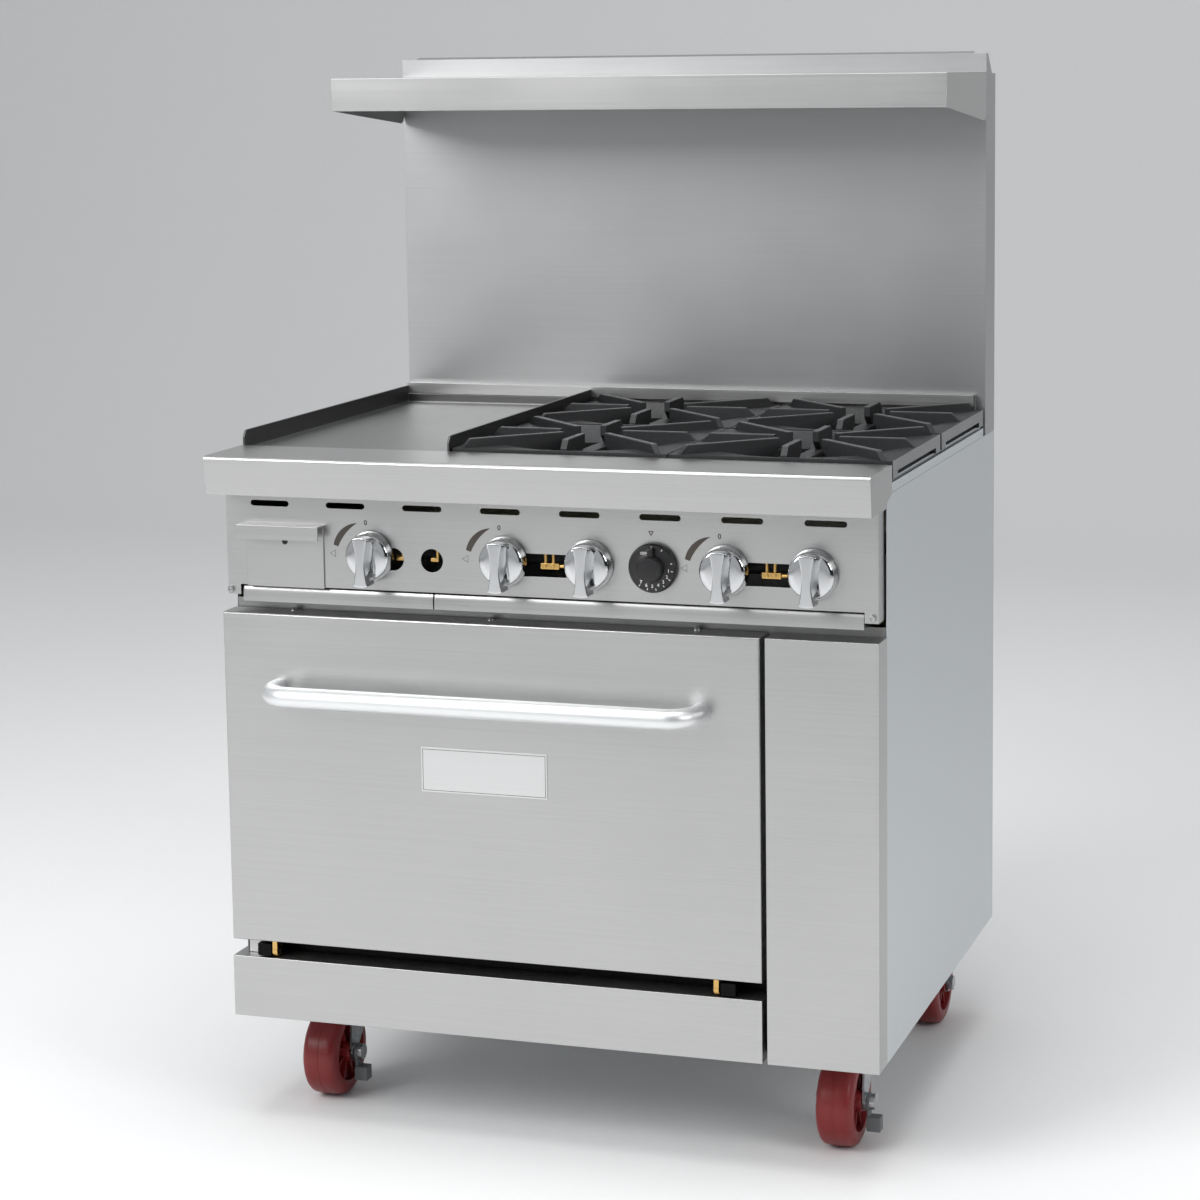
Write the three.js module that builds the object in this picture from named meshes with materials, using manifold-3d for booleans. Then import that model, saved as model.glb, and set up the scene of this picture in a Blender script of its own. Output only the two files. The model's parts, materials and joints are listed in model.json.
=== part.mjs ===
// A 914 mm wide restaurant gas range: griddle and four open burners over one oven, with a backguard,
// an overhead shelf and swivel casters. Units are millimetres, +Z is up, +X is the right-hand side and
// -Y is the front. While the pieces are made, Y is counted from the nose of the landing ledge.
import * as THREE from "three";
import { mergeVertices } from "three/addons/utils/BufferGeometryUtils.js";
import Module from "manifold-3d";

const wasm = await Module();
wasm.setup();

// ---------------------------------------------------------------- driving dimensions

// Overall
const WIDTH = 914;
const BODY_REAR = 787;
const DECK_HEIGHT = 937;
const GUARD_RISE = 523;
const SHEET = 1.5;
const SEAM = 0.3;
const GRID = 1024;

// Front faces, as distances back from the nose of the ledge
const PANEL_SETBACK = 58;
const DOOR_SETBACK = 45;
const BODY_FRONT = 90;
const TRAY_SETBACK = 62;

// Heights of the front, from the floor up and from the ledge down
const KICK_HEIGHT = 85;
const HINGE_GAP = 23;
const LEDGE_DROP = 52.4;
const PANEL_HEIGHT = 129.6;
const TRAY_GAP = 3;
const TRAY_FRONT_HEIGHT = 21;
const RAIL_REVEAL = 13;

// Landing ledge
const LEDGE_DEPTH = 118;
const LEDGE_LEAN = 6;
const LEDGE_NOSE_RADIUS = 5;
const LEDGE_REAR_FLANGE = 17;
const SIDE_CORNER_RISE = 9.5;

// Control panel
const PANEL_INSET = 3.5;
const EAR_WIDTH = 18.5;
const EAR_DROP = 14;
const VENT_LENGTH = 56;
const VENT_HEIGHT = 8;
const VENT_COUNT = 8;
const VENT_SHIFT = 2;
const VENT_BELOW_LEDGE = 17.3;
const KNOB_BELOW_LEDGE = 82.6;
const STEM_HOLE_RADIUS = 7;
const VIEW_SLOT_HEIGHT = 30.3;
const VIEW_SLOT_MARGIN = 17.2;
const GRIDDLE_SLOT_LENGTH = 50;
const GRIDDLE_SLOT_REACH = 46.6;
const LIGHTING_HOLE_RADIUS = 15.8;

// Oven door, service cover and handle
const COVER_WIDTH = 150.4;
const DOOR_THICKNESS = 43;
const COVER_GAP = 6.6;
const DOOR_SHEET = 2;
const HANDLE_RADIUS = 14;
const HANDLE_REACH = 50;
const HANDLE_END_INSET = 79.5;
const HANDLE_BEND = 38;
const HANDLE_BELOW_DOOR_TOP = 102.5;

// Door hinges
const HINGE_INSET = 62.5;
const HINGE_PIN_RADIUS = 4;
const HINGE_PIN_BEHIND_FACE = 9;
const HINGE_PIN_ABOVE_KICK = 10;
const HINGE_PIN_CLEARANCE = 0.4;
const HINGE_ARM_THICKNESS = 7;
const HINGE_BRACKET_WIDTH = 20;
const HINGE_SIDE_CLEARANCE = 2.5;

// Face frame and oven
const FRAME_PLATE = 3;
const OVEN_SIDE_INSET = 42;
const OVEN_TOP_INSET = 30;
const OVEN_REAR_INSET = 44;
const BURNER_BAY_HEIGHT = 64;
const OVEN_ABOVE_KICK = 29;
const INSULATION = 36;
const DECK_PLATE = 3;
const RACK_LEDGE_COUNT = 3;
const RACK_LEDGE = 11;
const RACK_LEVEL = 2;
const RACK_ROD_RADIUS = 4;
const RACK_WIRE_RADIUS = 2.6;
const RACK_WIRE_COUNT = 11;
const RACK_CLEARANCE = 4;
const OVEN_BURNER_RADIUS = 16;
const SERVICE_STILE = 24;

// Cooktop
const GRIDDLE_WIDTH = 305.6;
const GRATE_GAP = 2;
const GRATE_ROW_GAP = 11;
const GRATE_FRONT_GAP = 6.5;
const GRATE_REAR_GAP = 3.5;
const GRATE_TOP = 16;
const GRATE_RIM = 4;
const GRATE_FOOT = 19;
const GRATE_SKIN = 5;
const GRATE_HOLE_RADIUS = 60;
const GRATE_BOWL_MARGIN = 5.5;
const GRATE_BOWL_DEPTH = 14;
const GRATE_FIN = 8.5;
const GRATE_TIP_RADIUS = 45;
const GRATE_SLOT_HEIGHT = 8;
const GRATE_SLOT_MARGIN = 26;
const GRATE_BRIDGE_WIDTH = 22;
const RAIL_HEIGHT = 20;
const RAIL_WIDTH = 21;
const TRIM_HEIGHT = 12.4;
const TRIM_TOP_BELOW_DECK = 23;
const GRIDDLE_PLATE = 20;
const GRIDDLE_SURFACE_DROP = 5;
const GRIDDLE_GUARD = 3;
const GRIDDLE_GUARD_RISE = 20.3;
const GRIDDLE_TROUGH = 12;

// Open burners
const BURNER_RADIUS = 47;
const BURNER_TOP_BELOW_DECK = 25;
const BURNER_HEAD_HEIGHT = 24;
const MIXER_RADIUS = 14;
const MIXER_MOUTH_RADIUS = 20;
const MIXER_FRONT = 130;
const MIXER_PASS_GAP = 5;

// Gas train
const PIPE_RADIUS = 13.4;
const PIPE_SETBACK = 116;
const PIPE_BORE_RADIUS = 10;
const INLET_INSET = 57;
const INLET_HOLE_CLEARANCE = 3;
const VALVE_WIDTH = 24;
const VALVE_HEIGHT = 34;
const STEM_RADIUS = 4;
const STEM_CLEARANCE = 0.35;

// Backguard and shelf
const GUARD_DEPTH = 67;
const GUARD_SIDE_TOP = 11.6;
const GUARD_SIDE_SLANT = 29;
const GUARD_TOP_FLANGE = 18;
const GUARD_TOP_RISE = 3;
const GUARD_TOP_INSET = 21;
const SHELF_DEPTH = 272;
const SHELF_BELOW_TOP = 26.7;
const SHELF_LIP = 47.4;
const SHELF_BRACKET_DROP = 70.6;
const SHELF_CORNER = 12;
const RISER_DEPTH = 15;
const RISER_TOP = 25;
const RISER_FACE = 17;

// Grease drawer and crumb trays
const DRAWER_SIDE_INSET = 33.3;
const DRAWER_TO_KNOB = 68.6;
const DRAWER_FRONT_HEIGHT = 86;
const DRAWER_FRONT_FOOT = -1.2;
const DRAWER_DEPTH = 400;
const DRAWER_WALL_INSET = 3;
const DRAWER_RUN_CLEARANCE = 2;
const DRAWER_HANDLE_REACH = 18;
const DRAWER_HANDLE_DROP = 19;
const DRAWER_HANDLE_OVERHANG = 7;
const TRAY_SIDE_INSET = 23.5;
const TRAY_SPLIT_GAP = 1.6;
const TRAY_WALL = 13;
const TRAY_REAR_INSET = 97;

// Knobs
const KNOB_RADIUS = 33;
const KNOB_TAPER = 3;
const KNOB_BODY = 17;
const KNOB_GRIP_HEIGHT = 21;
const KNOB_GRIP_WIDTH = 20;
const KNOB_GRIP_OVERHANG = 5;
const KNOB_PANEL_GAP = 2;
const DIAL_RADIUS = 32.5;
const DIAL_FLANGE = 9;
const DIAL_HUB_RADIUS = 18;
const DIAL_HUB = 12;

// Casters
const WHEEL_RADIUS = 63.5;
const WHEEL_WIDTH = 51;
const WHEEL_SIDES = 28;
const WHEEL_SHOULDER = 11;
const WHEEL_RECESS = 12;
const WHEEL_TYRE = 20.5;
const WHEEL_HUB_RADIUS = 15;
const AXLE_RADIUS = 6;
const AXLE_CLEARANCE = 0.4;
const CASTER_SIDE_INSET = 84;
const CASTER_FRONT_Y = 226;
const CASTER_REAR_INSET = 103;
const CASTER_ABOVE_WHEEL = 25;
const CASTER_TRAIL = 38;
const FORK_LEG = 3;
const FORK_GAP = 2.5;
const CROWN_RADIUS = 38;
const CROWN_THICKNESS = 5;
const CROWN_ABOVE_WHEEL = 4;
const RACE_CLEARANCE = 1.5;
const KINGPIN_RADIUS = 7;
const MOUNT_PLATE = 4;
const MOUNT_PLATE_LENGTH = 100;
const MOUNT_PLATE_WIDTH = 92;
const BRAKE_LEVER = 4;

// ---------------------------------------------------------------- worked-out levels and places

const HALF = WIDTH / 2;
const INNER_HALF = HALF - SHEET;
const BODY_BOTTOM = 2 * WHEEL_RADIUS + CASTER_ABOVE_WHEEL;
const GUARD_HEIGHT = DECK_HEIGHT + GUARD_RISE;
const GUARD_FACE = BODY_REAR - GUARD_DEPTH;
const KICK_TOP = BODY_BOTTOM + KICK_HEIGHT;
const DOOR_BOTTOM = KICK_TOP + HINGE_GAP;
const LEDGE_BOTTOM = DECK_HEIGHT - LEDGE_DROP;
const PANEL_BOTTOM = LEDGE_BOTTOM - PANEL_HEIGHT;
const TRAY_TOP = PANEL_BOTTOM - TRAY_GAP;
const TRAY_BOTTOM = TRAY_TOP - TRAY_FRONT_HEIGHT;
const DOOR_TOP = TRAY_BOTTOM - RAIL_REVEAL;
const DOOR_LEFT = -HALF;
const DOOR_RIGHT = HALF - COVER_WIDTH - COVER_GAP;
const DOOR_WIDTH = DOOR_RIGHT - DOOR_LEFT;
const DOOR_MIDDLE = (DOOR_LEFT + DOOR_RIGHT) / 2;
const DOOR_BACK = DOOR_SETBACK + DOOR_THICKNESS;
const TRIM_TOP = DECK_HEIGHT - TRIM_TOP_BELOW_DECK;
const SIDE_TOP = TRIM_TOP - TRIM_HEIGHT;
const GRATE_SEAT = DECK_HEIGHT - GRATE_FOOT;
const GRATE_LEVEL = DECK_HEIGHT + GRATE_TOP;
const KNOB_LEVEL = LEDGE_BOTTOM - KNOB_BELOW_LEDGE;
const KNOB_BACK = PANEL_SETBACK - KNOB_PANEL_GAP;
const OVEN_LEFT = DOOR_LEFT + OVEN_SIDE_INSET;
const OVEN_RIGHT = DOOR_RIGHT - OVEN_SIDE_INSET;
const OVEN_FLOOR = KICK_TOP + OVEN_ABOVE_KICK;
const OVEN_DECK = OVEN_FLOOR + BURNER_BAY_HEIGHT;
const OVEN_CEILING = DOOR_TOP - OVEN_TOP_INSET;
const OVEN_FRONT = BODY_FRONT + FRAME_PLATE;
const OVEN_BACK = BODY_REAR - OVEN_REAR_INSET;
const RACK_PITCH = (OVEN_CEILING - OVEN_DECK) / (RACK_LEDGE_COUNT + 1);
const HINGE_SPREAD = DOOR_WIDTH - 2 * HINGE_INSET;
const HINGE_Y = DOOR_SETBACK + HINGE_PIN_BEHIND_FACE;
const HINGE_Z = KICK_TOP + HINGE_PIN_ABOVE_KICK;
const AXLE_HEIGHT = WHEEL_RADIUS * Math.cos(Math.PI / WHEEL_SIDES);
const CROWN_BOTTOM = AXLE_HEIGHT + WHEEL_RADIUS + CROWN_ABOVE_WHEEL;
const CROWN_TOP = CROWN_BOTTOM + CROWN_THICKNESS;
const CASTER_X = HALF - CASTER_SIDE_INSET;
const CASTER_REAR_Y = BODY_REAR - CASTER_REAR_INSET;
const KNOB_FACE_RADIUS = KNOB_RADIUS - KNOB_TAPER;
const KNOB_GRIP_BELOW = KNOB_RADIUS + KNOB_GRIP_OVERHANG;
const INLET_PLACE = HALF - INLET_INSET;

// The controls are spread over the panel, as shares of half its width from the middle.
const KNOB_PLACES = {
  griddle: -0.529 * HALF,
  left_rear: -0.1125 * HALF,
  left_front: 0.1466 * HALF,
  right_rear: 0.55 * HALF,
  right_front: 0.807 * HALF,
};
const DIAL_PLACE = 0.339 * HALF;
const LIGHTING_HOLE_PLACE = -0.339 * HALF;
const TRAY_SPLIT = -0.34 * HALF;
const VENT_PITCH = 0.2418 * HALF;
const DRAWER_LEFT = -HALF + DRAWER_SIDE_INSET;
const DRAWER_RIGHT = KNOB_PLACES.griddle - DRAWER_TO_KNOB;

// Grates stand in two columns and two rows; the right-hand column is flush with the side of the range.
const RISER_FRONT = GUARD_FACE - SEAM - RISER_DEPTH;
const GRATE_WIDTH = (WIDTH - GRIDDLE_WIDTH - 2 * GRATE_GAP) / 2;
const GRATE_ROOM = GUARD_FACE - RISER_DEPTH - GRATE_REAR_GAP - LEDGE_DEPTH - GRATE_FRONT_GAP;
const GRATE_DEPTH = (GRATE_ROOM - GRATE_ROW_GAP) / 2;
const GRATE_BOWL_RADIUS = Math.min(GRATE_WIDTH, GRATE_DEPTH) / 2 - GRATE_BOWL_MARGIN;
const COLUMN_PITCH = GRATE_WIDTH + GRATE_GAP;
const RIGHT_COLUMN = HALF - GRATE_WIDTH / 2;
const LEFT_COLUMN = RIGHT_COLUMN - COLUMN_PITCH;
const FRONT_ROW = LEDGE_DEPTH + GRATE_FRONT_GAP + GRATE_DEPTH / 2;
const REAR_ROW = FRONT_ROW + GRATE_DEPTH + GRATE_ROW_GAP;
const GRATES = [
  { name: "left_front", x: LEFT_COLUMN, y: FRONT_ROW },
  { name: "left_rear", x: LEFT_COLUMN, y: REAR_ROW },
  { name: "right_front", x: RIGHT_COLUMN, y: FRONT_ROW },
  { name: "right_rear", x: RIGHT_COLUMN, y: REAR_ROW },
];
const GRATES_LEFT = LEFT_COLUMN - GRATE_WIDTH / 2;
const GRIDDLE_RIGHT = GRATES_LEFT - GRATE_GAP;

// ---------------------------------------------------------------- finishes

const stainless = { color: 0xc8cacb, roughness: 0.34, metalness: 1 };
const sideSteel = { color: 0xb6bdc2, roughness: 0.42, metalness: 1 };
const galvanised = { color: 0xa4a9ac, roughness: 0.55, metalness: 1 };
const griddleSteel = { color: 0x8c9192, roughness: 0.38, metalness: 1 };
const castIron = { color: 0x24272a, roughness: 0.72, metalness: 0.4 };
const blackEnamel = { color: 0x17181a, roughness: 0.5, metalness: 0.2 };
const chrome = { color: 0xe6e9ec, roughness: 0.08, metalness: 1 };
const polishedTube = { color: 0xdcdedf, roughness: 0.16, metalness: 1 };
const brass = { color: 0xc79a4b, roughness: 0.35, metalness: 1 };
const zincPlate = { color: 0xa9afb0, roughness: 0.4, metalness: 1 };
const blackPlastic = { color: 0x1c1d20, roughness: 0.45, metalness: 0 };
const redTread = { color: 0x92292b, roughness: 0.5, metalness: 0 };
const greyPad = { color: 0x5d6266, roughness: 0.7, metalness: 0 };
const mineralWool = { color: 0xcbbf8e, roughness: 0.95, metalness: 0 };

// ---------------------------------------------------------------- shape helpers

// Lengths are kept on a fine grid that single precision holds exactly, so that flush faces stay flush.
const snap = (length) => Math.round(length * GRID) / GRID;

// A closed three.js geometry as a solid that can be joined and cut.
function solidFrom(geometry) {
  const bare = geometry.index ? geometry.toNonIndexed() : geometry.clone();
  bare.deleteAttribute("normal");
  bare.deleteAttribute("uv");
  bare.attributes.position.array.forEach((value, i, all) => {
    all[i] = snap(value);
  });
  const merged = mergeVertices(bare, 1e-4);
  const corners = merged.index.array;
  const triangles = [];
  for (let i = 0; i < corners.length; i += 3) {
    const [a, b, c] = corners.slice(i, i + 3);
    if (a !== b && b !== c && c !== a) triangles.push([a, b, c]);
  }
  const build = (list) =>
    new wasm.Manifold(
      new wasm.Mesh({
        numProp: 3,
        vertProperties: merged.attributes.position.array,
        triVerts: new Uint32Array(list.flat()),
      }),
    );
  const solid = build(triangles);
  if (solid.volume() > 0) return solid;
  return build(triangles.map(([a, b, c]) => [a, c, b]));
}

function geometryFrom(solid) {
  const mesh = solid.getMesh();
  const geometry = new THREE.BufferGeometry();
  geometry.setAttribute("position", new THREE.BufferAttribute(new Float32Array(mesh.vertProperties), 3));
  geometry.setIndex(new THREE.BufferAttribute(new Uint32Array(mesh.triVerts), 1));
  geometry.computeVertexNormals();
  return geometry;
}

const join = (first, ...others) => others.reduce((sum, next) => sum.add(next), first);
const cut = (first, ...tools) => tools.reduce((rest, tool) => rest.subtract(tool), first);

function block([x0, x1], [y0, y1], [z0, z1]) {
  const box = new THREE.BoxGeometry(x1 - x0, y1 - y0, z1 - z0);
  return solidFrom(box.translate((x0 + x1) / 2, (y0 + y1) / 2, (z0 + z1) / 2));
}

const polygon = (points) => new THREE.Shape(points.map(([u, v]) => new THREE.Vector2(u, v)));

function extruded(shape, depth, basis, offset, curveSegments = 8) {
  const geometry = new THREE.ExtrudeGeometry(shape, { depth, bevelEnabled: false, curveSegments });
  return solidFrom(geometry.applyMatrix4(basis).translate(...offset));
}

const axisX = new THREE.Vector3(1, 0, 0);
const axisY = new THREE.Vector3(0, 1, 0);
const axisZ = new THREE.Vector3(0, 0, 1);
const basisOf = (u, v, w) => new THREE.Matrix4().makeBasis(u, v, w);

// Outlines in (y, z), (x, z) and (x, y), given a thickness along the third axis.
const plateX = (shape, [x0, x1], curve) =>
  extruded(shape, x1 - x0, basisOf(axisY, axisZ, axisX), [x0, 0, 0], curve);
const plateY = (shape, [y0, y1], curve) =>
  extruded(shape, y1 - y0, basisOf(axisX, axisZ, axisY.clone().negate()), [0, y1, 0], curve);
const plateZ = (shape, [z0, z1], curve) =>
  extruded(shape, z1 - z0, basisOf(axisX, axisY, axisZ), [0, 0, z0], curve);

function rod(from, to, radius, sides = 16, endRadius = radius) {
  const start = new THREE.Vector3(...from);
  const run = new THREE.Vector3(...to).sub(start);
  const geometry = new THREE.CylinderGeometry(endRadius, radius, run.length(), sides);
  const turn = new THREE.Quaternion().setFromUnitVectors(axisY, run.clone().normalize());
  geometry.applyQuaternion(turn);
  const middle = start.addScaledVector(run, 0.5);
  return solidFrom(geometry.translate(middle.x, middle.y, middle.z));
}

// A solid turned about the upright axis through the origin, from an outline in (radius, height).
function turned(outline, sides) {
  const closed = [...outline, outline[0]];
  const lathe = new THREE.LatheGeometry(closed.map(([r, h]) => new THREE.Vector2(r, h)), sides);
  return solidFrom(lathe.rotateX(Math.PI / 2));
}

const knuckle = ([x, y, z], radius) => solidFrom(new THREE.SphereGeometry(radius, 10, 6).translate(x, y, z));

// A slot outline with round ends, centred on (u, v) and running along u.
function slotShape(u, v, length, height) {
  const r = height / 2;
  const reach = length / 2 - r;
  const shape = new THREE.Shape();
  shape.moveTo(u - reach, v - r);
  shape.lineTo(u + reach, v - r);
  shape.absarc(u + reach, v, r, -Math.PI / 2, Math.PI / 2, false);
  shape.lineTo(u - reach, v + r);
  shape.absarc(u - reach, v, r, Math.PI / 2, (3 * Math.PI) / 2, false);
  return shape;
}

// A pan folded from sheet: walls all round a floor that faces one way along Y.
function foldedPan([x0, x1], [y0, y1], [z0, z1], sheet) {
  const outer = block([x0, x1], [y0, y1], [z0, z1]);
  return cut(outer, block([x0 + sheet, x1 - sheet], [y0 + sheet, y1 + 1], [z0 + sheet, z1 - sheet]));
}

const range = new THREE.Group();

function piece(name, solid, finish, parent = range) {
  const mesh = new THREE.Mesh(geometryFrom(solid), new THREE.MeshStandardMaterial(finish));
  mesh.name = name;
  parent.add(mesh);
  return mesh;
}

// ---------------------------------------------------------------- body

// One side: the outer skin with a chamfered upper front corner and inward flanges below and behind.
function sidePanel(side) {
  const outline = polygon([
    [BODY_FRONT, BODY_BOTTOM],
    [BODY_REAR, BODY_BOTTOM],
    [BODY_REAR, SIDE_TOP],
    [LEDGE_DEPTH, SIDE_TOP],
    [BODY_FRONT, SIDE_TOP - SIDE_CORNER_RISE],
  ]);
  const across = (near, far) => (side > 0 ? [HALF - far, HALF - near] : [-HALF + near, -HALF + far]);
  const skin = plateX(outline, across(0, SHEET));
  const flange = 16;
  const foot = block(across(0, flange), [OVEN_FRONT + 1, BODY_REAR - 20], [BODY_BOTTOM, BODY_BOTTOM + SHEET]);
  const rearTop = SIDE_TOP - 20;
  const rearFlange = block(across(0, flange), [BODY_REAR - 2 * SHEET - SEAM, BODY_REAR - SHEET - SEAM],
    [BODY_BOTTOM + 20, rearTop]);
  return join(skin, foot, rearFlange);
}

function rearPanel() {
  const sheet = block([-INNER_HALF + SEAM, INNER_HALF - SEAM], [BODY_REAR - SHEET, BODY_REAR],
    [BODY_BOTTOM + SHEET + SEAM, SIDE_TOP - SEAM]);
  const inlet = rod([INLET_PLACE, BODY_REAR - 10, KNOB_LEVEL], [INLET_PLACE, BODY_REAR + 10, KNOB_LEVEL],
    PIPE_RADIUS + INLET_HOLE_CLEARANCE, 20);
  const vents = [];
  for (let row = 0; row < 4; row += 1) {
    const z = DOOR_BOTTOM + 60 * row;
    vents.push(plateY(slotShape(0, z, 240, 12), [BODY_REAR - 10, BODY_REAR + 10], 3));
  }
  return cut(sheet, inlet, ...vents);
}

// The welded chassis: bottom pan, two cross channels, and the fixed half of each caster.
function baseFrame() {
  const inside = INNER_HALF - SEAM;
  const floor = BODY_BOTTOM + SHEET + SEAM;
  const rear = BODY_REAR - 2 * SHEET - 2 * SEAM - 1;
  const pan = block([-inside, inside], [OVEN_FRONT + SEAM, rear], [floor, floor + 3]);
  const parts = [pan];
  for (const y of [CASTER_FRONT_Y, CASTER_REAR_Y]) {
    parts.push(block([-inside, inside], [y - 46, y + 46], [floor + 3, floor + 18]));
  }
  const bores = [];
  for (const { x, y } of casterPlaces()) {
    parts.push(block([x - MOUNT_PLATE_LENGTH / 2, x + MOUNT_PLATE_LENGTH / 2],
      [y - MOUNT_PLATE_WIDTH / 2, y + MOUNT_PLATE_WIDTH / 2],
      [BODY_BOTTOM - MOUNT_PLATE, BODY_BOTTOM - SEAM]));
    parts.push(rod([x, y, BODY_BOTTOM - SEAM - 0.1], [x, y, floor + 0.1], 20, 12));
    parts.push(rod([x, y, CROWN_TOP + RACE_CLEARANCE], [x, y, BODY_BOTTOM - 1],
      CROWN_RADIUS - 4, 20, CROWN_RADIUS));
    bores.push(rod([x, y, CROWN_TOP], [x, y, BODY_BOTTOM - 2], KINGPIN_RADIUS + STEM_CLEARANCE, 12));
  }
  return cut(join(...parts), ...bores);
}

// The welded face behind the door: oven and service openings, and the fixed half of both door hinges.
function frontFrame() {
  const inside = INNER_HALF - SEAM;
  const face = block([-inside, inside], [BODY_FRONT, BODY_FRONT + FRAME_PLATE],
    [BODY_BOTTOM + SHEET + SEAM, TRAY_BOTTOM - SEAM]);
  const oven = block([OVEN_LEFT, OVEN_RIGHT], [0, OVEN_FRONT + 10], [OVEN_FLOOR, OVEN_CEILING]);
  const service = block([DOOR_RIGHT + SERVICE_STILE, inside - SERVICE_STILE], [0, OVEN_FRONT + 10],
    [OVEN_FLOOR, OVEN_CEILING]);
  const parts = [cut(face, oven, service)];
  for (const side of [-1, 1]) {
    const armX = DOOR_MIDDLE + (side * HINGE_SPREAD) / 2;
    const near = armX + side * (HINGE_ARM_THICKNESS / 2 + HINGE_SIDE_CLEARANCE);
    const far = near + side * HINGE_BRACKET_WIDTH;
    const ear = block([Math.min(near, far), Math.max(near, far)], [HINGE_Y - 7, BODY_FRONT + 1],
      [HINGE_Z - 8, HINGE_Z + 9]);
    const pin = rod([far - side * 2, HINGE_Y, HINGE_Z], [armX - side * 7, HINGE_Y, HINGE_Z],
      HINGE_PIN_RADIUS, 20);
    parts.push(ear, pin);
  }
  return join(...parts);
}

function kickPanel() {
  return foldedPan([DOOR_LEFT, DOOR_RIGHT], [DOOR_SETBACK, BODY_FRONT - SEAM], [BODY_BOTTOM, KICK_TOP],
    SHEET);
}

function serviceCover() {
  return foldedPan([DOOR_RIGHT + COVER_GAP, HALF], [DOOR_SETBACK, BODY_FRONT - SEAM],
    [BODY_BOTTOM, DOOR_TOP], SHEET);
}

// ---------------------------------------------------------------- control panel and ledge

function ventPlaces() {
  const first = (-VENT_PITCH * (VENT_COUNT - 1)) / 2 - VENT_SHIFT;
  return Array.from({ length: VENT_COUNT }, (_, i) => first + i * VENT_PITCH);
}

function controlPanel() {
  const edge = HALF - PANEL_INSET;
  const faceTop = LEDGE_BOTTOM + 30;
  const through = [PANEL_SETBACK - 5, PANEL_SETBACK + 5];
  const face = plateY(polygon([
    [-edge, PANEL_BOTTOM - EAR_DROP],
    [-edge + EAR_WIDTH, PANEL_BOTTOM - EAR_DROP],
    [-edge + EAR_WIDTH, PANEL_BOTTOM],
    [edge - EAR_WIDTH, PANEL_BOTTOM],
    [edge - EAR_WIDTH, PANEL_BOTTOM - EAR_DROP],
    [edge, PANEL_BOTTOM - EAR_DROP],
    [edge, faceTop],
    [-edge, faceTop],
  ]), [PANEL_SETBACK, PANEL_SETBACK + SHEET]);
  const returnDepth = [PANEL_SETBACK + SHEET, BODY_FRONT - SEAM];
  const rise = [PANEL_BOTTOM - EAR_DROP, faceTop];
  const leftReturn = block([-edge, -edge + SHEET], returnDepth, rise);
  const rightReturn = block([edge - SHEET, edge], returnDepth, rise);
  const vents = ventPlaces().map((x) =>
    plateY(slotShape(x, LEDGE_BOTTOM - VENT_BELOW_LEDGE, VENT_LENGTH, VENT_HEIGHT), through, 3));
  const stems = [...Object.values(KNOB_PLACES), DIAL_PLACE].map((x) =>
    rod([x, through[0], KNOB_LEVEL], [x, through[1], KNOB_LEVEL], STEM_HOLE_RADIUS, 12));
  const viewLevel = KNOB_LEVEL - 4;
  const lighting = rod([LIGHTING_HOLE_PLACE, through[0], viewLevel],
    [LIGHTING_HOLE_PLACE, through[1], viewLevel], LIGHTING_HOLE_RADIUS, 24);
  const griddleView = plateY(
    slotShape(KNOB_PLACES.griddle + GRIDDLE_SLOT_REACH - GRIDDLE_SLOT_LENGTH / 2, viewLevel,
      GRIDDLE_SLOT_LENGTH, VIEW_SLOT_HEIGHT), through, 6);
  const pairs = [
    [KNOB_PLACES.left_rear, KNOB_PLACES.left_front],
    [KNOB_PLACES.right_rear, KNOB_PLACES.right_front],
  ];
  const views = pairs.map(([near, far]) => block([near + VIEW_SLOT_MARGIN, far - VIEW_SLOT_MARGIN], through,
    [viewLevel - VIEW_SLOT_HEIGHT / 2, viewLevel + VIEW_SLOT_HEIGHT / 2]));
  return cut(join(face, leftReturn, rightReturn), ...vents, ...stems, lighting, griddleView, ...views,
    drawerOpening(through));
}

// The ledge: a folded nose, a rear flange and an end plate at each side.
function landingLedge() {
  const r = LEDGE_NOSE_RADIUS;
  const back = PANEL_SETBACK - SEAM;
  const outer = new THREE.Shape();
  outer.moveTo(LEDGE_DEPTH, DECK_HEIGHT - LEDGE_REAR_FLANGE);
  outer.lineTo(LEDGE_DEPTH, DECK_HEIGHT);
  outer.lineTo(r, DECK_HEIGHT);
  outer.absarc(r, DECK_HEIGHT - r, r, Math.PI / 2, Math.PI, false);
  outer.lineTo(LEDGE_LEAN, LEDGE_BOTTOM);
  outer.lineTo(back, LEDGE_BOTTOM);
  outer.lineTo(back, LEDGE_BOTTOM + SHEET);
  outer.lineTo(LEDGE_LEAN + SHEET, LEDGE_BOTTOM + SHEET);
  outer.lineTo(SHEET, DECK_HEIGHT - r);
  outer.absarc(r, DECK_HEIGHT - r, r - SHEET, Math.PI, Math.PI / 2, true);
  outer.lineTo(LEDGE_DEPTH - SHEET, DECK_HEIGHT - SHEET);
  outer.lineTo(LEDGE_DEPTH - SHEET, DECK_HEIGHT - LEDGE_REAR_FLANGE);
  const end = new THREE.Shape();
  end.moveTo(LEDGE_DEPTH, SIDE_TOP + SEAM);
  end.lineTo(LEDGE_DEPTH, DECK_HEIGHT);
  end.lineTo(r, DECK_HEIGHT);
  end.absarc(r, DECK_HEIGHT - r, r, Math.PI / 2, Math.PI, false);
  end.lineTo(LEDGE_LEAN, LEDGE_BOTTOM);
  end.lineTo(BODY_FRONT, LEDGE_BOTTOM);
  end.lineTo(BODY_FRONT, SIDE_TOP - SIDE_CORNER_RISE + SEAM);
  return join(plateX(outer, [-INNER_HALF, INNER_HALF], 4), plateX(end, [-HALF, -INNER_HALF], 4),
    plateX(end, [INNER_HALF, HALF], 4));
}

// ---------------------------------------------------------------- cooktop

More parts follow.
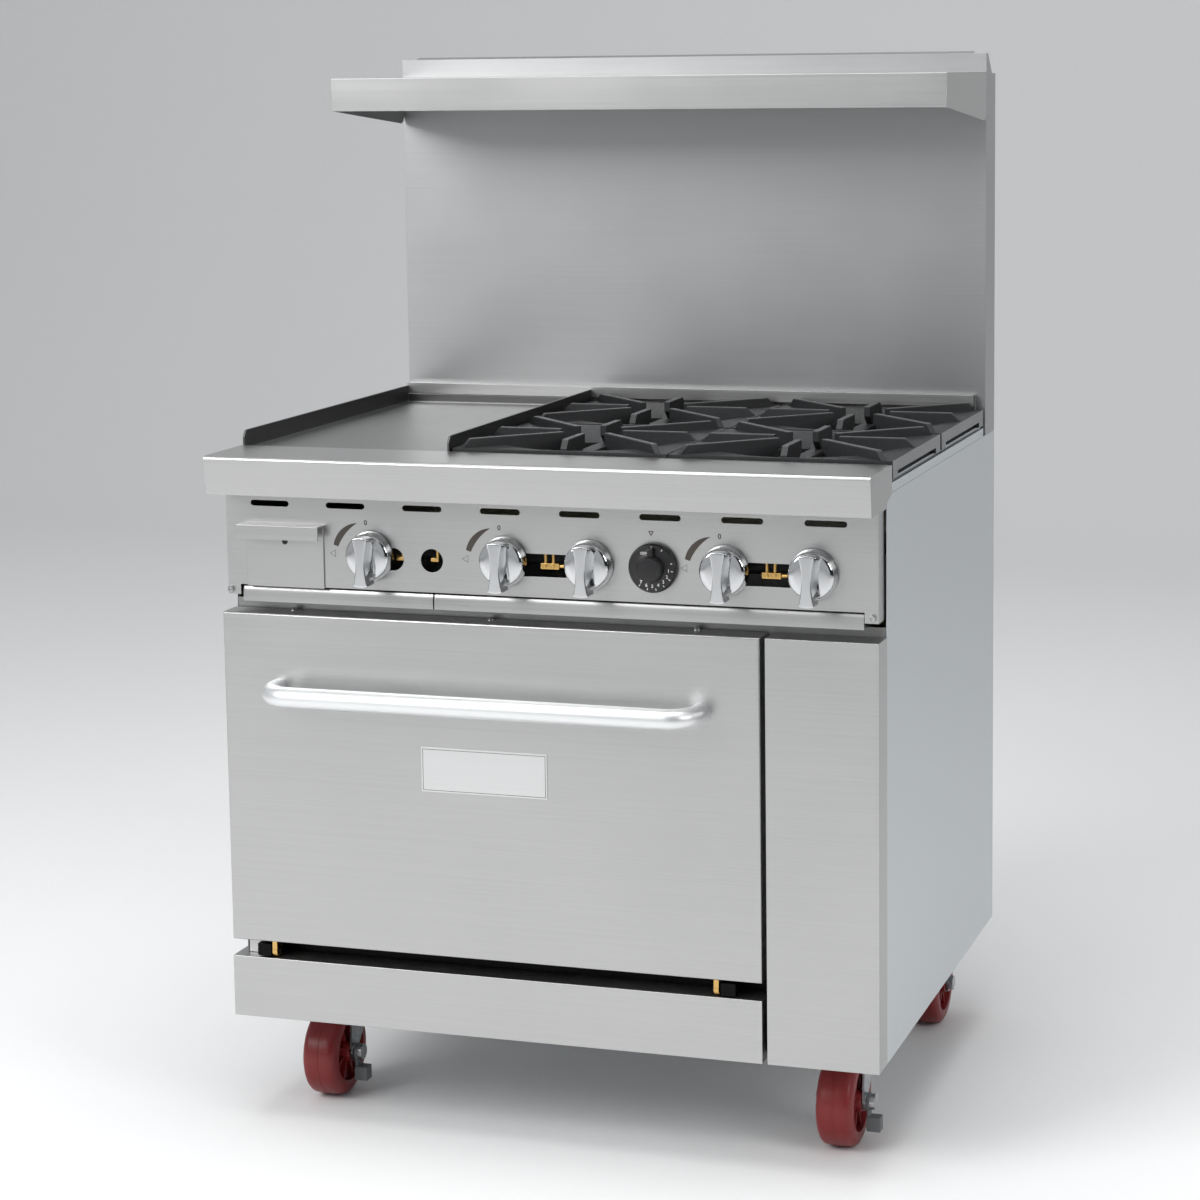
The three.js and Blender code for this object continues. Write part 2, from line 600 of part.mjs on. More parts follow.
// Rails that carry the griddle and the grates, with a bright trim strip along each side of the range.
function cooktopFrame() {
  const [front, rear] = [LEDGE_DEPTH + SEAM, RISER_FRONT - SEAM];
  const low = GRATE_SEAT - RAIL_HEIGHT;
  const griddleSeat = DECK_HEIGHT - GRIDDLE_SURFACE_DROP - GRIDDLE_PLATE;
  const railOuter = HALF - 2 * SHEET - 2;
  const parts = [
    block([railOuter - RAIL_WIDTH, railOuter], [front, rear], [low, GRATE_SEAT]),
    block([-railOuter, -railOuter + RAIL_WIDTH], [front, rear], [low, griddleSeat]),
    block([GRATES_LEFT, GRATES_LEFT + RAIL_WIDTH / 2], [front, rear], [low, GRATE_SEAT]),
    block([GRIDDLE_RIGHT - RAIL_WIDTH / 2, GRATES_LEFT + 1], [front, rear], [low, griddleSeat]),
  ];
  const middle = RIGHT_COLUMN - COLUMN_PITCH / 2;
  parts.push(block([middle - RAIL_WIDTH / 2, middle + RAIL_WIDTH / 2], [front, rear], [low, GRATE_SEAT]));
  const crossBar = (y, depth, top) =>
    block([-railOuter + 1, railOuter - 1], [y - depth / 2, y + depth / 2], [low, top]);
  parts.push(crossBar(front + 6, 12, griddleSeat), crossBar(rear - 6, 12, griddleSeat));
  const between = (FRONT_ROW + REAR_ROW) / 2;
  parts.push(block([GRATES_LEFT + 1, railOuter - 1], [between - 12, between + 12], [low, GRATE_SEAT]));
  for (const side of [-1, 1]) {
    const across = (near, far) => (side > 0 ? [HALF - far, HALF - near] : [-HALF + near, -HALF + far]);
    parts.push(block(across(0, SHEET), [front, rear], [SIDE_TOP + SEAM, TRIM_TOP]));
    parts.push(block(across(0, HALF - railOuter + 1), [front, rear],
      [SIDE_TOP + SEAM, SIDE_TOP + SEAM + SHEET]));
  }
  return join(...parts);
}

// Griddle: a thick plate between two guards, with a grease trough left open at its front edge.
function griddlePlate() {
  const surface = DECK_HEIGHT - GRIDDLE_SURFACE_DROP;
  const bottom = surface - GRIDDLE_PLATE + SEAM;
  const [left, right] = [-INNER_HALF + SEAM, GRIDDLE_RIGHT];
  const front = LEDGE_DEPTH + SEAM;
  const rear = RISER_FRONT - SEAM;
  const plate = block([left, right], [front + GRIDDLE_TROUGH, rear], [bottom, surface]);
  const top = DECK_HEIGHT + GRIDDLE_GUARD_RISE;
  const guard = polygon([[front, bottom], [rear, bottom], [rear, top], [front + 7, top], [front, top - 9]]);
  const backSplash = block([left, right], [rear - GRIDDLE_GUARD, rear],
    [bottom, DECK_HEIGHT + RISER_TOP - RISER_FACE]);
  const leftGuard = plateX(guard, [left, left + GRIDDLE_GUARD]);
  const rightGuard = plateX(guard, [right - GRIDDLE_GUARD, right]);
  return join(plate, leftGuard, rightGuard, backSplash);
}

// One fin of a grate, standing on the bowl and running outwards from the burner.
function grateFin(angle, outerTop, outerBase) {
  const rim = DECK_HEIGHT + GRATE_RIM;
  const bowlFloor = rim - GRATE_BOWL_DEPTH;
  const outline = polygon([
    [GRATE_TIP_RADIUS, GRATE_LEVEL],
    [GRATE_TIP_RADIUS, GRATE_LEVEL - 14],
    [GRATE_HOLE_RADIUS + 2, bowlFloor - 2],
    [GRATE_BOWL_RADIUS, rim - 3],
    [outerBase, rim - 3],
    [outerBase, rim],
    [outerTop, GRATE_LEVEL],
  ]);
  const geometry = new THREE.ExtrudeGeometry(outline, { depth: GRATE_FIN, bevelEnabled: false });
  geometry.translate(0, 0, -GRATE_FIN / 2);
  geometry.applyMatrix4(basisOf(axisX, axisZ, axisY.clone().negate()));
  return solidFrom(geometry.rotateZ(angle));
}

// The gaps between the feet, one through each side of the skirt.
function skirtSlots(w, d) {
  const height = [GRATE_SEAT - 1, GRATE_SEAT + GRATE_SLOT_HEIGHT];
  const [reachX, reachY] = [w - GRATE_SLOT_MARGIN, d - GRATE_SLOT_MARGIN];
  const inward = GRATE_SKIN + 1;
  return [-1, 1].flatMap((side) => {
    const across = (size) => [side * (size + 1), side * (size - inward)].sort((a, b) => a - b);
    return [block([-reachX, reachX], across(d), height), block(across(w), [-reachY, reachY], height)];
  });
}

// A grate is cast in one piece: a shallow bowl on a skirt with feet, and eight fins.
function grateSolid() {
  const rim = DECK_HEIGHT + GRATE_RIM;
  const bowlFloor = rim - GRATE_BOWL_DEPTH;
  const [w, d] = [GRATE_WIDTH / 2, GRATE_DEPTH / 2];
  const slab = block([-w, w], [-d, d], [GRATE_SEAT, rim]);
  const overrun = 5;
  const flare = (overrun * (GRATE_BOWL_RADIUS - GRATE_HOLE_RADIUS)) / GRATE_BOWL_DEPTH;
  const above = (hole, floor) =>
    turned([
      [0, GRATE_SEAT - overrun],
      [hole, GRATE_SEAT - overrun],
      [hole, floor],
      [GRATE_BOWL_RADIUS + flare, floor + GRATE_BOWL_DEPTH + overrun],
      [0, floor + GRATE_BOWL_DEPTH + overrun],
    ], 32);
  const [inW, inD] = [w - GRATE_SKIN, d - GRATE_SKIN];
  const hollow = cut(block([-inW, inW], [-inD, inD], [GRATE_SEAT - 1, rim - GRATE_SKIN]),
    above(GRATE_HOLE_RADIUS + GRATE_SKIN, bowlFloor - GRATE_SKIN));
  const shell = cut(slab, above(GRATE_HOLE_RADIUS, bowlFloor), hollow, ...skirtSlots(w, d));
  const bridge = block([-GRATE_BRIDGE_WIDTH / 2, GRATE_BRIDGE_WIDTH / 2],
    [-GRATE_HOLE_RADIUS - 4, GRATE_HOLE_RADIUS + 4], [bowlFloor - 5, bowlFloor]);
  const diagonal = Math.SQRT2 * Math.min(w, d) - GRATE_FIN / 2;
  const fins = [];
  for (let quarter = 0; quarter < 4; quarter += 1) {
    fins.push(grateFin(Math.PI / 4 + (quarter * Math.PI) / 2, diagonal - 13, diagonal - 0.5));
  }
  for (const angle of [0, Math.PI]) fins.push(grateFin(angle, w - 17, w - 3));
  for (const angle of [Math.PI / 2, -Math.PI / 2]) fins.push(grateFin(angle, d - 30, d - 21));
  return join(shell, bridge, ...fins);
}

// ---------------------------------------------------------------- burners and gas train

// A burner head on a mixer tube that runs forward to its own valve. Where a rear burner's valve stands too
// near the front head for a straight tube, the tube bends to pass beside that head.
function openBurner(grate, valveX) {
  const top = DECK_HEIGHT - BURNER_TOP_BELOW_DECK;
  const bottom = top - BURNER_HEAD_HEIGHT;
  const tubeLevel = bottom - MIXER_RADIUS + 4;
  const above = (z) => [grate.x, grate.y, z];
  const head = rod(above(bottom), above(top - 7), BURNER_RADIUS - 6, 24, BURNER_RADIUS);
  const cap = rod(above(top - 7), above(top), BURNER_RADIUS, 24, BURNER_RADIUS - 12);
  const neck = rod(above(tubeLevel), above(bottom + 2), MIXER_RADIUS, 8);
  const mouth = [valveX, MIXER_FRONT, tubeLevel];
  const besideHead = grate.x - BURNER_RADIUS - MIXER_PASS_GAP;
  const runX = grate.y > FRONT_ROW ? Math.min(valveX, besideHead) : valveX;
  const bends = runX < valveX
    ? [[valveX, MIXER_FRONT + 28, tubeLevel], [runX, MIXER_FRONT + 28 + valveX - runX, tubeLevel]] : [];
  const turn = [runX, grate.y - Math.abs(grate.x - runX) - 20, tubeLevel];
  const course = [[valveX, MIXER_FRONT + 20, tubeLevel], ...bends, turn, above(tubeLevel)];
  const bell = cut(
    rod(mouth, [valveX, MIXER_FRONT + 24, tubeLevel], MIXER_MOUTH_RADIUS, 12, MIXER_RADIUS),
    rod([valveX, MIXER_FRONT - 1, tubeLevel], [valveX, MIXER_FRONT + 14, tubeLevel], MIXER_RADIUS - 4, 12),
  );
  const tube = course.slice(1).flatMap((end, i) =>
    [rod(course[i], end, MIXER_RADIUS, 10), knuckle(end, MIXER_RADIUS + 1)]);
  return join(head, cap, neck, bell, ...tube);
}

function griddleBurner() {
  const level = DECK_HEIGHT - 70;
  const x = KNOB_PLACES.griddle;
  const middle = (-HALF + GRIDDLE_RIGHT) / 2;
  const bars = [-60, 60].map((offset) =>
    rod([middle + offset, 200, level], [middle + offset, RISER_FRONT - 60, level], 15, 12));
  const feed = rod([x, MIXER_FRONT, level], [x, 211, level], 14, 12);
  const bridge = rod([middle - 60, 205, level], [Math.max(middle + 66, x + 6), 205, level], 15, 12);
  const tie = RISER_FRONT - 145;
  const rear = rod([middle - 60, tie, level], [middle + 60, tie, level], 13, 12);
  return join(...bars, feed, bridge, rear);
}

// The supply pipe runs across behind the valves, then back to the rear connection.
function gasManifold() {
  const z = KNOB_LEVEL;
  const left = DRAWER_RIGHT + 22;
  const run = rod([left, PIPE_SETBACK, z], [INLET_PLACE, PIPE_SETBACK, z], PIPE_RADIUS, 16);
  const cap = rod([left - 6, PIPE_SETBACK, z], [left + 12, PIPE_SETBACK, z], PIPE_RADIUS + 3, 6);
  const elbow = knuckle([INLET_PLACE, PIPE_SETBACK, z], PIPE_RADIUS + 4);
  const back = rod([INLET_PLACE, PIPE_SETBACK, z], [INLET_PLACE, BODY_REAR - SEAM, z], PIPE_RADIUS, 16);
  const bore = rod([INLET_PLACE, BODY_REAR - 40, z], [INLET_PLACE, BODY_REAR + 5, z], PIPE_BORE_RADIUS, 16);
  return cut(join(run, cap, elbow, back), bore);
}

// A cock with a square body, a hexagonal nose and the stem that carries its knob.
function gasValve(x, knobStart) {
  const z = KNOB_LEVEL;
  const seat = PIPE_SETBACK - PIPE_RADIUS - SEAM;
  const front = PANEL_SETBACK + SHEET + 8;
  const body = block([x - VALVE_WIDTH / 2, x + VALVE_WIDTH / 2], [front + 8, seat],
    [z - VALVE_HEIGHT / 2, z + VALVE_HEIGHT / 2]);
  const nose = rod([x, front, z], [x, front + 9, z], 9, 6);
  const stem = rod([x, knobStart, z], [x, front + 4, z], STEM_RADIUS, 12);
  const top = z + VALVE_HEIGHT / 2;
  const outlet = rod([x, front + 18, top - 1], [x, front + 18, top + 12], 6, 8);
  return join(body, nose, stem, outlet);
}

function thermostatBody() {
  const z = KNOB_LEVEL;
  const seat = PIPE_SETBACK - PIPE_RADIUS - SEAM;
  const front = PANEL_SETBACK + SHEET + 5;
  const body = block([DIAL_PLACE - 24, DIAL_PLACE + 24], [front + 3, seat], [z - 26, z + 26]);
  const collar = rod([DIAL_PLACE, front, z], [DIAL_PLACE, front + 4, z], 14, 16);
  const stem = rod([DIAL_PLACE, KNOB_BACK - 8, z], [DIAL_PLACE, front + 1, z], STEM_RADIUS, 12);
  return join(body, collar, stem);
}

// ---------------------------------------------------------------- oven

// The liner is open at the front and has three pairs of ledges for racks.
function ovenLiner() {
  const outer = block([OVEN_LEFT - SHEET, OVEN_RIGHT + SHEET], [OVEN_FRONT + SEAM, OVEN_BACK + SHEET],
    [OVEN_FLOOR - SHEET, OVEN_CEILING + SHEET]);
  const cavity = block([OVEN_LEFT, OVEN_RIGHT], [OVEN_FRONT - 5, OVEN_BACK], [OVEN_FLOOR, OVEN_CEILING]);
  const parts = [cut(outer, cavity)];
  const ledges = Array.from({ length: RACK_LEDGE_COUNT }, (_, i) => OVEN_DECK + (i + 1) * RACK_PITCH);
  for (const z of [...ledges, OVEN_DECK - DECK_PLATE - SEAM]) {
    const span = [OVEN_FRONT + 12, OVEN_BACK - 4];
    parts.push(block([OVEN_LEFT - 0.5, OVEN_LEFT + RACK_LEDGE], span, [z - 3, z]));
    parts.push(block([OVEN_RIGHT - RACK_LEDGE, OVEN_RIGHT + 0.5], span, [z - 3, z]));
  }
  return join(...parts);
}

function ovenInsulation() {
  const near = SHEET + SEAM;
  const left = Math.max(OVEN_LEFT - near - INSULATION, -INNER_HALF + 1);
  const rear = OVEN_BACK + near + INSULATION - 8;
  const outer = block([left, OVEN_RIGHT + near + INSULATION], [OVEN_FRONT + SEAM, rear],
    [OVEN_FLOOR - near - INSULATION, TRAY_BOTTOM - 1]);
  const inner = block([OVEN_LEFT - near, OVEN_RIGHT + near], [OVEN_FRONT - 5, OVEN_BACK + near],
    [OVEN_FLOOR - near, OVEN_CEILING + near]);
  return cut(outer, inner);
}

function ovenDeck() {
  const plate = block([OVEN_LEFT + 1.5, OVEN_RIGHT - 1.5], [OVEN_FRONT + 3, OVEN_BACK - 6],
    [OVEN_DECK - DECK_PLATE, OVEN_DECK]);
  const depth = OVEN_BACK - OVEN_FRONT;
  const slots = [];
  for (const side of [-1, 1]) {
    for (let i = 0; i < 4; i += 1) {
      const y = OVEN_FRONT + (0.14 + 0.23 * i) * depth;
      const x = side < 0 ? OVEN_LEFT + 45 : OVEN_RIGHT - 45;
      slots.push(block([x - 6, x + 6], [y, y + 0.154 * depth], [OVEN_DECK - 10, OVEN_DECK + 10]));
    }
  }
  return cut(plate, ...slots);
}

function ovenRack() {
  const z = OVEN_DECK + RACK_LEVEL * RACK_PITCH + RACK_ROD_RADIUS + SEAM;
  const [left, right] = [OVEN_LEFT + RACK_CLEARANCE, OVEN_RIGHT - RACK_CLEARANCE];
  const [front, rear] = [OVEN_FRONT + 22, OVEN_BACK - 10];
  const r = RACK_ROD_RADIUS;
  const parts = [
    rod([left + r, front, z], [left + r, rear, z], r, 6),
    rod([right - r, front, z], [right - r, rear, z], r, 6),
    rod([left + 1, front + r, z], [right - 1, front + r, z], r, 6),
    rod([left + 1, rear - r, z], [right - 1, rear - r, z], r, 6),
    rod([left + 1, (front + rear) / 2, z], [right - 1, (front + rear) / 2, z], r, 6),
  ];
  const pitch = (right - left) / (RACK_WIRE_COUNT + 1);
  for (let i = 1; i <= RACK_WIRE_COUNT; i += 1) {
    const x = left + i * pitch;
    const level = z + RACK_ROD_RADIUS - 0.5;
    parts.push(rod([x, front + 1, level], [x, rear - 1, level], RACK_WIRE_RADIUS, 6));
  }
  return join(...parts);
}

function ovenBurner() {
  const level = OVEN_FLOOR + BURNER_BAY_HEIGHT / 2 - 4;
  const [front, rear] = [OVEN_FRONT + 30, OVEN_BACK - 60];
  const bars = [DOOR_MIDDLE - 110, DOOR_MIDDLE + 110].map((x) =>
    rod([x, front + 60, level], [x, rear, level], OVEN_BURNER_RADIUS, 12));
  const bridge = rod([DOOR_MIDDLE - 112, front + 66, level], [DOOR_MIDDLE + 112, front + 66, level],
    OVEN_BURNER_RADIUS, 12);
  const feed = rod([DOOR_MIDDLE, front, level], [DOOR_MIDDLE, front + 66, level], OVEN_BURNER_RADIUS + 2, 12);
  return join(...bars, bridge, feed);
}

// ---------------------------------------------------------------- backguard and shelf

function backguardPanel() {
  const bottom = SIDE_TOP + SEAM;
  const face = block([-HALF, HALF], [GUARD_FACE, GUARD_FACE + SHEET], [bottom, GUARD_HEIGHT]);
  const sideTop = GUARD_FACE + GUARD_SIDE_TOP;
  const side = polygon([
    [GUARD_FACE + SHEET, bottom],
    [BODY_REAR - SHEET - SEAM, bottom],
    [BODY_REAR - SHEET - SEAM, GUARD_HEIGHT - GUARD_SIDE_SLANT],
    [sideTop + GUARD_SIDE_SLANT, GUARD_HEIGHT - GUARD_SIDE_SLANT],
    [sideTop, GUARD_HEIGHT],
    [GUARD_FACE + SHEET, GUARD_HEIGHT],
  ]);
  const root = GUARD_FACE + SHEET / 2;
  const flange = polygon([
    [root, GUARD_HEIGHT - 1.3 * SHEET],
    [GUARD_FACE + GUARD_TOP_FLANGE, GUARD_HEIGHT + GUARD_TOP_RISE - SHEET],
    [GUARD_FACE + GUARD_TOP_FLANGE, GUARD_HEIGHT + GUARD_TOP_RISE],
    [root, GUARD_HEIGHT - 0.3 * SHEET],
  ]);
  const reach = HALF - GUARD_TOP_INSET;
  return join(face, plateX(side, [-HALF, -INNER_HALF]), plateX(side, [INNER_HALF, HALF]),
    plateX(flange, [-reach, reach]));
}

function backguardBack() {
  return block([-HALF, HALF], [BODY_REAR - SHEET, BODY_REAR],
    [SIDE_TOP + SEAM, GUARD_HEIGHT - GUARD_SIDE_SLANT]);
}

function overheadShelf() {
  const top = GUARD_HEIGHT - SHELF_BELOW_TOP;
  const rear = GUARD_FACE - SEAM;
  const front = rear - SHELF_DEPTH;
  const deck = block([-HALF, HALF], [front, rear], [top - SHEET, top]);
  const lip = block([-HALF, HALF], [front, front + SHEET], [top - SHELF_LIP, top - SHEET]);
  const low = top - SHELF_BRACKET_DROP;
  const bracket = polygon([
    [front + SHEET, top - SHELF_LIP],
    [rear - 2.5 * SHELF_CORNER, low + 0.15 * SHELF_CORNER],
    [rear - SHELF_CORNER, low],
    [rear - 0.3 * SHELF_CORNER, low + 0.3 * SHELF_CORNER],
    [rear, low + SHELF_CORNER],
    [rear, top - SHEET],
    [front + SHEET, top - SHEET],
  ]);
  return join(deck, lip, plateX(bracket, [-HALF, -INNER_HALF]), plateX(bracket, [INNER_HALF, HALF]));
}

function flueRiser() {
  const top = DECK_HEIGHT + RISER_TOP;
  const span = [-HALF + SHEET, HALF - RISER_DEPTH];
  const face = block(span, [RISER_FRONT, RISER_FRONT + SHEET], [top - RISER_FACE, top - SHEET]);
  const lid = block(span, [RISER_FRONT, GUARD_FACE - SEAM], [top - SHEET, top]);
  const heel = block(span, [GUARD_FACE - SEAM - SHEET, GUARD_FACE - SEAM],
    [top - RISER_FACE - 20, top - SHEET]);
  return join(face, lid, heel);
}

// ---------------------------------------------------------------- oven door

function doorPanel() {
  return foldedPan([DOOR_LEFT, DOOR_RIGHT], [DOOR_SETBACK, DOOR_BACK - SHEET - SEAM], [DOOR_BOTTOM, DOOR_TOP],
    DOOR_SHEET);
}

// The inner face, with a shallow plug that enters the door's own hollow.
function doorLiner() {
  const plate = block([DOOR_LEFT + 4, DOOR_RIGHT - 4], [DOOR_BACK - SHEET, DOOR_BACK],
    [DOOR_BOTTOM + 4, DOOR_TOP - 4]);
  const plug = block([OVEN_LEFT + 12, OVEN_RIGHT - 12], [DOOR_SETBACK + 14, DOOR_BACK - 1],
    [OVEN_FLOOR + 12, OVEN_CEILING - 12]);
  return join(plate, plug);
}

// The handle is one bar bent back to the door at both ends.
function doorHandle() {
  const z = DOOR_TOP - HANDLE_BELOW_DOOR_TOP;
  const out = DOOR_SETBACK - HANDLE_REACH;
  const [left, right] = [DOOR_LEFT + HANDLE_END_INSET, DOOR_RIGHT - HANDLE_END_INSET];
  const at = (x, y) => new THREE.Vector3(x, y, z);
  const path = new THREE.CurvePath();
  path.add(new THREE.LineCurve3(at(left, DOOR_SETBACK), at(left, out + HANDLE_BEND)));
  path.add(new THREE.QuadraticBezierCurve3(at(left, out + HANDLE_BEND), at(left, out),
    at(left + HANDLE_BEND, out)));
  path.add(new THREE.LineCurve3(at(left + HANDLE_BEND, out), at(right - HANDLE_BEND, out)));
  path.add(new THREE.QuadraticBezierCurve3(at(right - HANDLE_BEND, out), at(right, out),
    at(right, out + HANDLE_BEND)));
  path.add(new THREE.LineCurve3(at(right, out + HANDLE_BEND), at(right, DOOR_SETBACK)));
  const section = new THREE.Shape().absarc(0, 0, HANDLE_RADIUS, 0, 2 * Math.PI, false);
  return solidFrom(new THREE.ExtrudeGeometry(section, { extrudePath: path, steps: 44, curveSegments: 7 }));
}

// A flat arm under the door, bored for the hinge pin.
function hingeArm(side) {
  const x = DOOR_MIDDLE + (side * HINGE_SPREAD) / 2;
  const across = [x - HINGE_ARM_THICKNESS / 2, x + HINGE_ARM_THICKNESS / 2];
  const eye = rod([across[0], HINGE_Y, HINGE_Z], [across[1], HINGE_Y, HINGE_Z], 8.5, 20);
  const stem = block(across, [HINGE_Y - 8, HINGE_Y + 12], [HINGE_Z, DOOR_BOTTOM]);
  const bore = rod([across[0] - 1, HINGE_Y, HINGE_Z], [across[1] + 1, HINGE_Y, HINGE_Z],
    HINGE_PIN_RADIUS + HINGE_PIN_CLEARANCE, 20);
  return cut(join(eye, stem), bore);
}

// ---------------------------------------------------------------- drawer and trays

const drawerTop = () => PANEL_BOTTOM + DRAWER_FRONT_FOOT + DRAWER_FRONT_HEIGHT;

function drawerOpening(through) {
  const inset = DRAWER_WALL_INSET - DRAWER_RUN_CLEARANCE;
  return block([DRAWER_LEFT + inset, DRAWER_RIGHT - inset], through,
    [PANEL_BOTTOM + DRAWER_RUN_CLEARANCE, drawerTop() - DRAWER_WALL_INSET]);
}

// The grease drawer: an open box, a front plate just proud of the panel and a folded lip to pull it by.
function greaseDrawer() {
  const front = [PANEL_SETBACK - 2 - SEAM, PANEL_SETBACK - SEAM];
  const foot = PANEL_BOTTOM + DRAWER_FRONT_FOOT;
  const plate = block([DRAWER_LEFT, DRAWER_RIGHT], front, [foot, drawerTop()]);
  const [left, right] = [DRAWER_LEFT + DRAWER_WALL_INSET, DRAWER_RIGHT - DRAWER_WALL_INSET];
  const floor = PANEL_BOTTOM + 2 * DRAWER_RUN_CLEARANCE;
  const boxTop = drawerTop() - 14;
  const tub = cut(
    block([left, right], [front[0], front[1] + DRAWER_DEPTH], [floor, boxTop]),
    block([left + SHEET, right - SHEET], [front[1], front[1] + DRAWER_DEPTH - SHEET],
      [floor + SHEET, boxTop + 1]),
  );
  const reach = front[0] - DRAWER_HANDLE_REACH;
  const span = [DRAWER_LEFT - DRAWER_HANDLE_OVERHANG, DRAWER_RIGHT];
  const lipTop = block(span, [reach, front[1]], [drawerTop() - 2, drawerTop()]);
  const lipFront = block(span, [reach, reach + 2], [drawerTop() - DRAWER_HANDLE_DROP, drawerTop()]);
  return join(plate, tub, lipTop, lipFront);
}

// A crumb tray: a shallow pan whose taller front shows below the control panel.
function crumbTray(left, right) {
  const rear = BODY_REAR - TRAY_REAR_INSET;
  const lift = TRAY_BOTTOM + SEAM;
  const front = polygon([
    [TRAY_SETBACK, lift],
    [TRAY_SETBACK + 4, lift],
    [TRAY_SETBACK + 4, TRAY_TOP],
    [TRAY_SETBACK + 2.5, TRAY_TOP],
    [TRAY_SETBACK, TRAY_TOP - 6],
  ]);
  const pan = cut(
    block([left, right], [TRAY_SETBACK + 1, rear], [lift, lift + TRAY_WALL]),
    block([left + SHEET, right - SHEET], [TRAY_SETBACK + 4, rear - SHEET],
      [lift + SHEET, lift + TRAY_WALL + 1]),
  );
  return join(plateX(front, [left, right]), pan);
}

// ---------------------------------------------------------------- knobs and dial

// A round skirt with a raised grip bar across it, bored for the valve stem.
function knobSolid(x) {
  const z = KNOB_LEVEL;
  const face = KNOB_BACK - KNOB_BODY;
  const skirt = rod([x, KNOB_BACK, z], [x, face, z], KNOB_RADIUS, 28, KNOB_FACE_RADIUS);
  const half = KNOB_GRIP_WIDTH / 2;
  const grip = polygon([
    [x - half, z - KNOB_GRIP_BELOW + 6],
    [x - half + 5, z - KNOB_GRIP_BELOW],
    [x + half - 5, z - KNOB_GRIP_BELOW],
    [x + half, z - KNOB_GRIP_BELOW + 6],
    [x + half, z + KNOB_FACE_RADIUS - 4],
    [x + half - 5, z + KNOB_FACE_RADIUS],
    [x - half + 5, z + KNOB_FACE_RADIUS],
    [x - half, z + KNOB_FACE_RADIUS - 4],
  ]);
  const bar = plateY(grip, [face - KNOB_GRIP_HEIGHT, face + 8]);
  const bore = rod([x, KNOB_BACK + 1, z], [x, KNOB_BACK - 12, z], STEM_RADIUS + STEM_CLEARANCE, 12);
  return cut(join(skirt, bar), bore);
}

function thermostatDial() {
  const [x, z] = [DIAL_PLACE, KNOB_LEVEL];
  const face = KNOB_BACK - DIAL_FLANGE;
  const flange = rod([x, KNOB_BACK, z], [x, face, z], DIAL_RADIUS, 32, DIAL_RADIUS - 2);
  const hub = rod([x, face + 1, z], [x, face - DIAL_HUB, z], DIAL_HUB_RADIUS, 24, DIAL_HUB_RADIUS - 2);
  const pointer = block([x - 4, x + 4], [face - 8, face + 1], [z, z + DIAL_RADIUS - 5]);
  const bore = rod([x, KNOB_BACK + 1, z], [x, KNOB_BACK - 9, z], STEM_RADIUS + STEM_CLEARANCE, 12);
  return cut(join(flange, hub, pointer), bore);
}

// ---------------------------------------------------------------- casters

function casterPlaces() {
  return [
    { name: "front_left", x: -CASTER_X, y: CASTER_FRONT_Y, trail: -CASTER_TRAIL, brake: true },
    { name: "front_right", x: CASTER_X, y: CASTER_FRONT_Y, trail: -CASTER_TRAIL, brake: true },
    { name: "rear_left", x: -CASTER_X, y: CASTER_REAR_Y, trail: CASTER_TRAIL, brake: false },
    { name: "rear_right", x: CASTER_X, y: CASTER_REAR_Y, trail: CASTER_TRAIL, brake: false },
  ];
}

const legInner = WHEEL_WIDTH / 2 + FORK_GAP;
const legOuter = legInner + FORK_LEG;
const leverInner = legOuter + 2.4;
const leverOuter = leverInner + BRAKE_LEVER;

// Crown, kingpin, two tapering legs and the axle bolt with its nuts.
function casterFork({ x, y, trail, brake }) {
  const axleY = y + trail;
  const crown = join(
    rod([x, y, CROWN_BOTTOM], [x, y, CROWN_TOP], CROWN_RADIUS, 20),
    block([x - legOuter, x + legOuter], [Math.min(y, axleY) - 4, Math.max(y, axleY) + 4],
      [CROWN_BOTTOM, CROWN_TOP]),
  );
  const kingpin = rod([x, y, CROWN_TOP - 1], [x, y, BODY_BOTTOM - 4], KINGPIN_RADIUS, 12);
  const away = Math.sign(trail);
  const leg = polygon([
    [y - away * 18, CROWN_BOTTOM + 1],
    [axleY + away * 4, CROWN_BOTTOM + 1],
    [axleY + away * 12, AXLE_HEIGHT],
    [axleY + away * 5, AXLE_HEIGHT - 13],
    [axleY - away * 6, AXLE_HEIGHT - 13],
    [axleY - away * 13, AXLE_HEIGHT + 4],
    [y - away * 22, CROWN_BOTTOM - 16],
  ]);
  const legs = [plateX(leg, [x - legOuter, x - legInner]), plateX(leg, [x + legInner, x + legOuter])];
  const nutFace = brake ? leverOuter + 0.4 : legOuter;
  const across = (start, end, radius, sides) =>
    rod([x + start, axleY, AXLE_HEIGHT], [x + end, axleY, AXLE_HEIGHT], radius, sides);
  const axle = across(-legOuter - 5, nutFace + 5, AXLE_RADIUS, 16);
  const boltHead = across(-legOuter - 6, -legOuter + 0.5, 9.5, 6);
  const washer = across(legOuter - 0.5, legOuter + 2, 11, 16);
  const nut = across(nutFace, nutFace + 7, 11, brake ? 12 : 6);
  return join(crown, kingpin, ...legs, axle, boltHead, washer, nut);
}

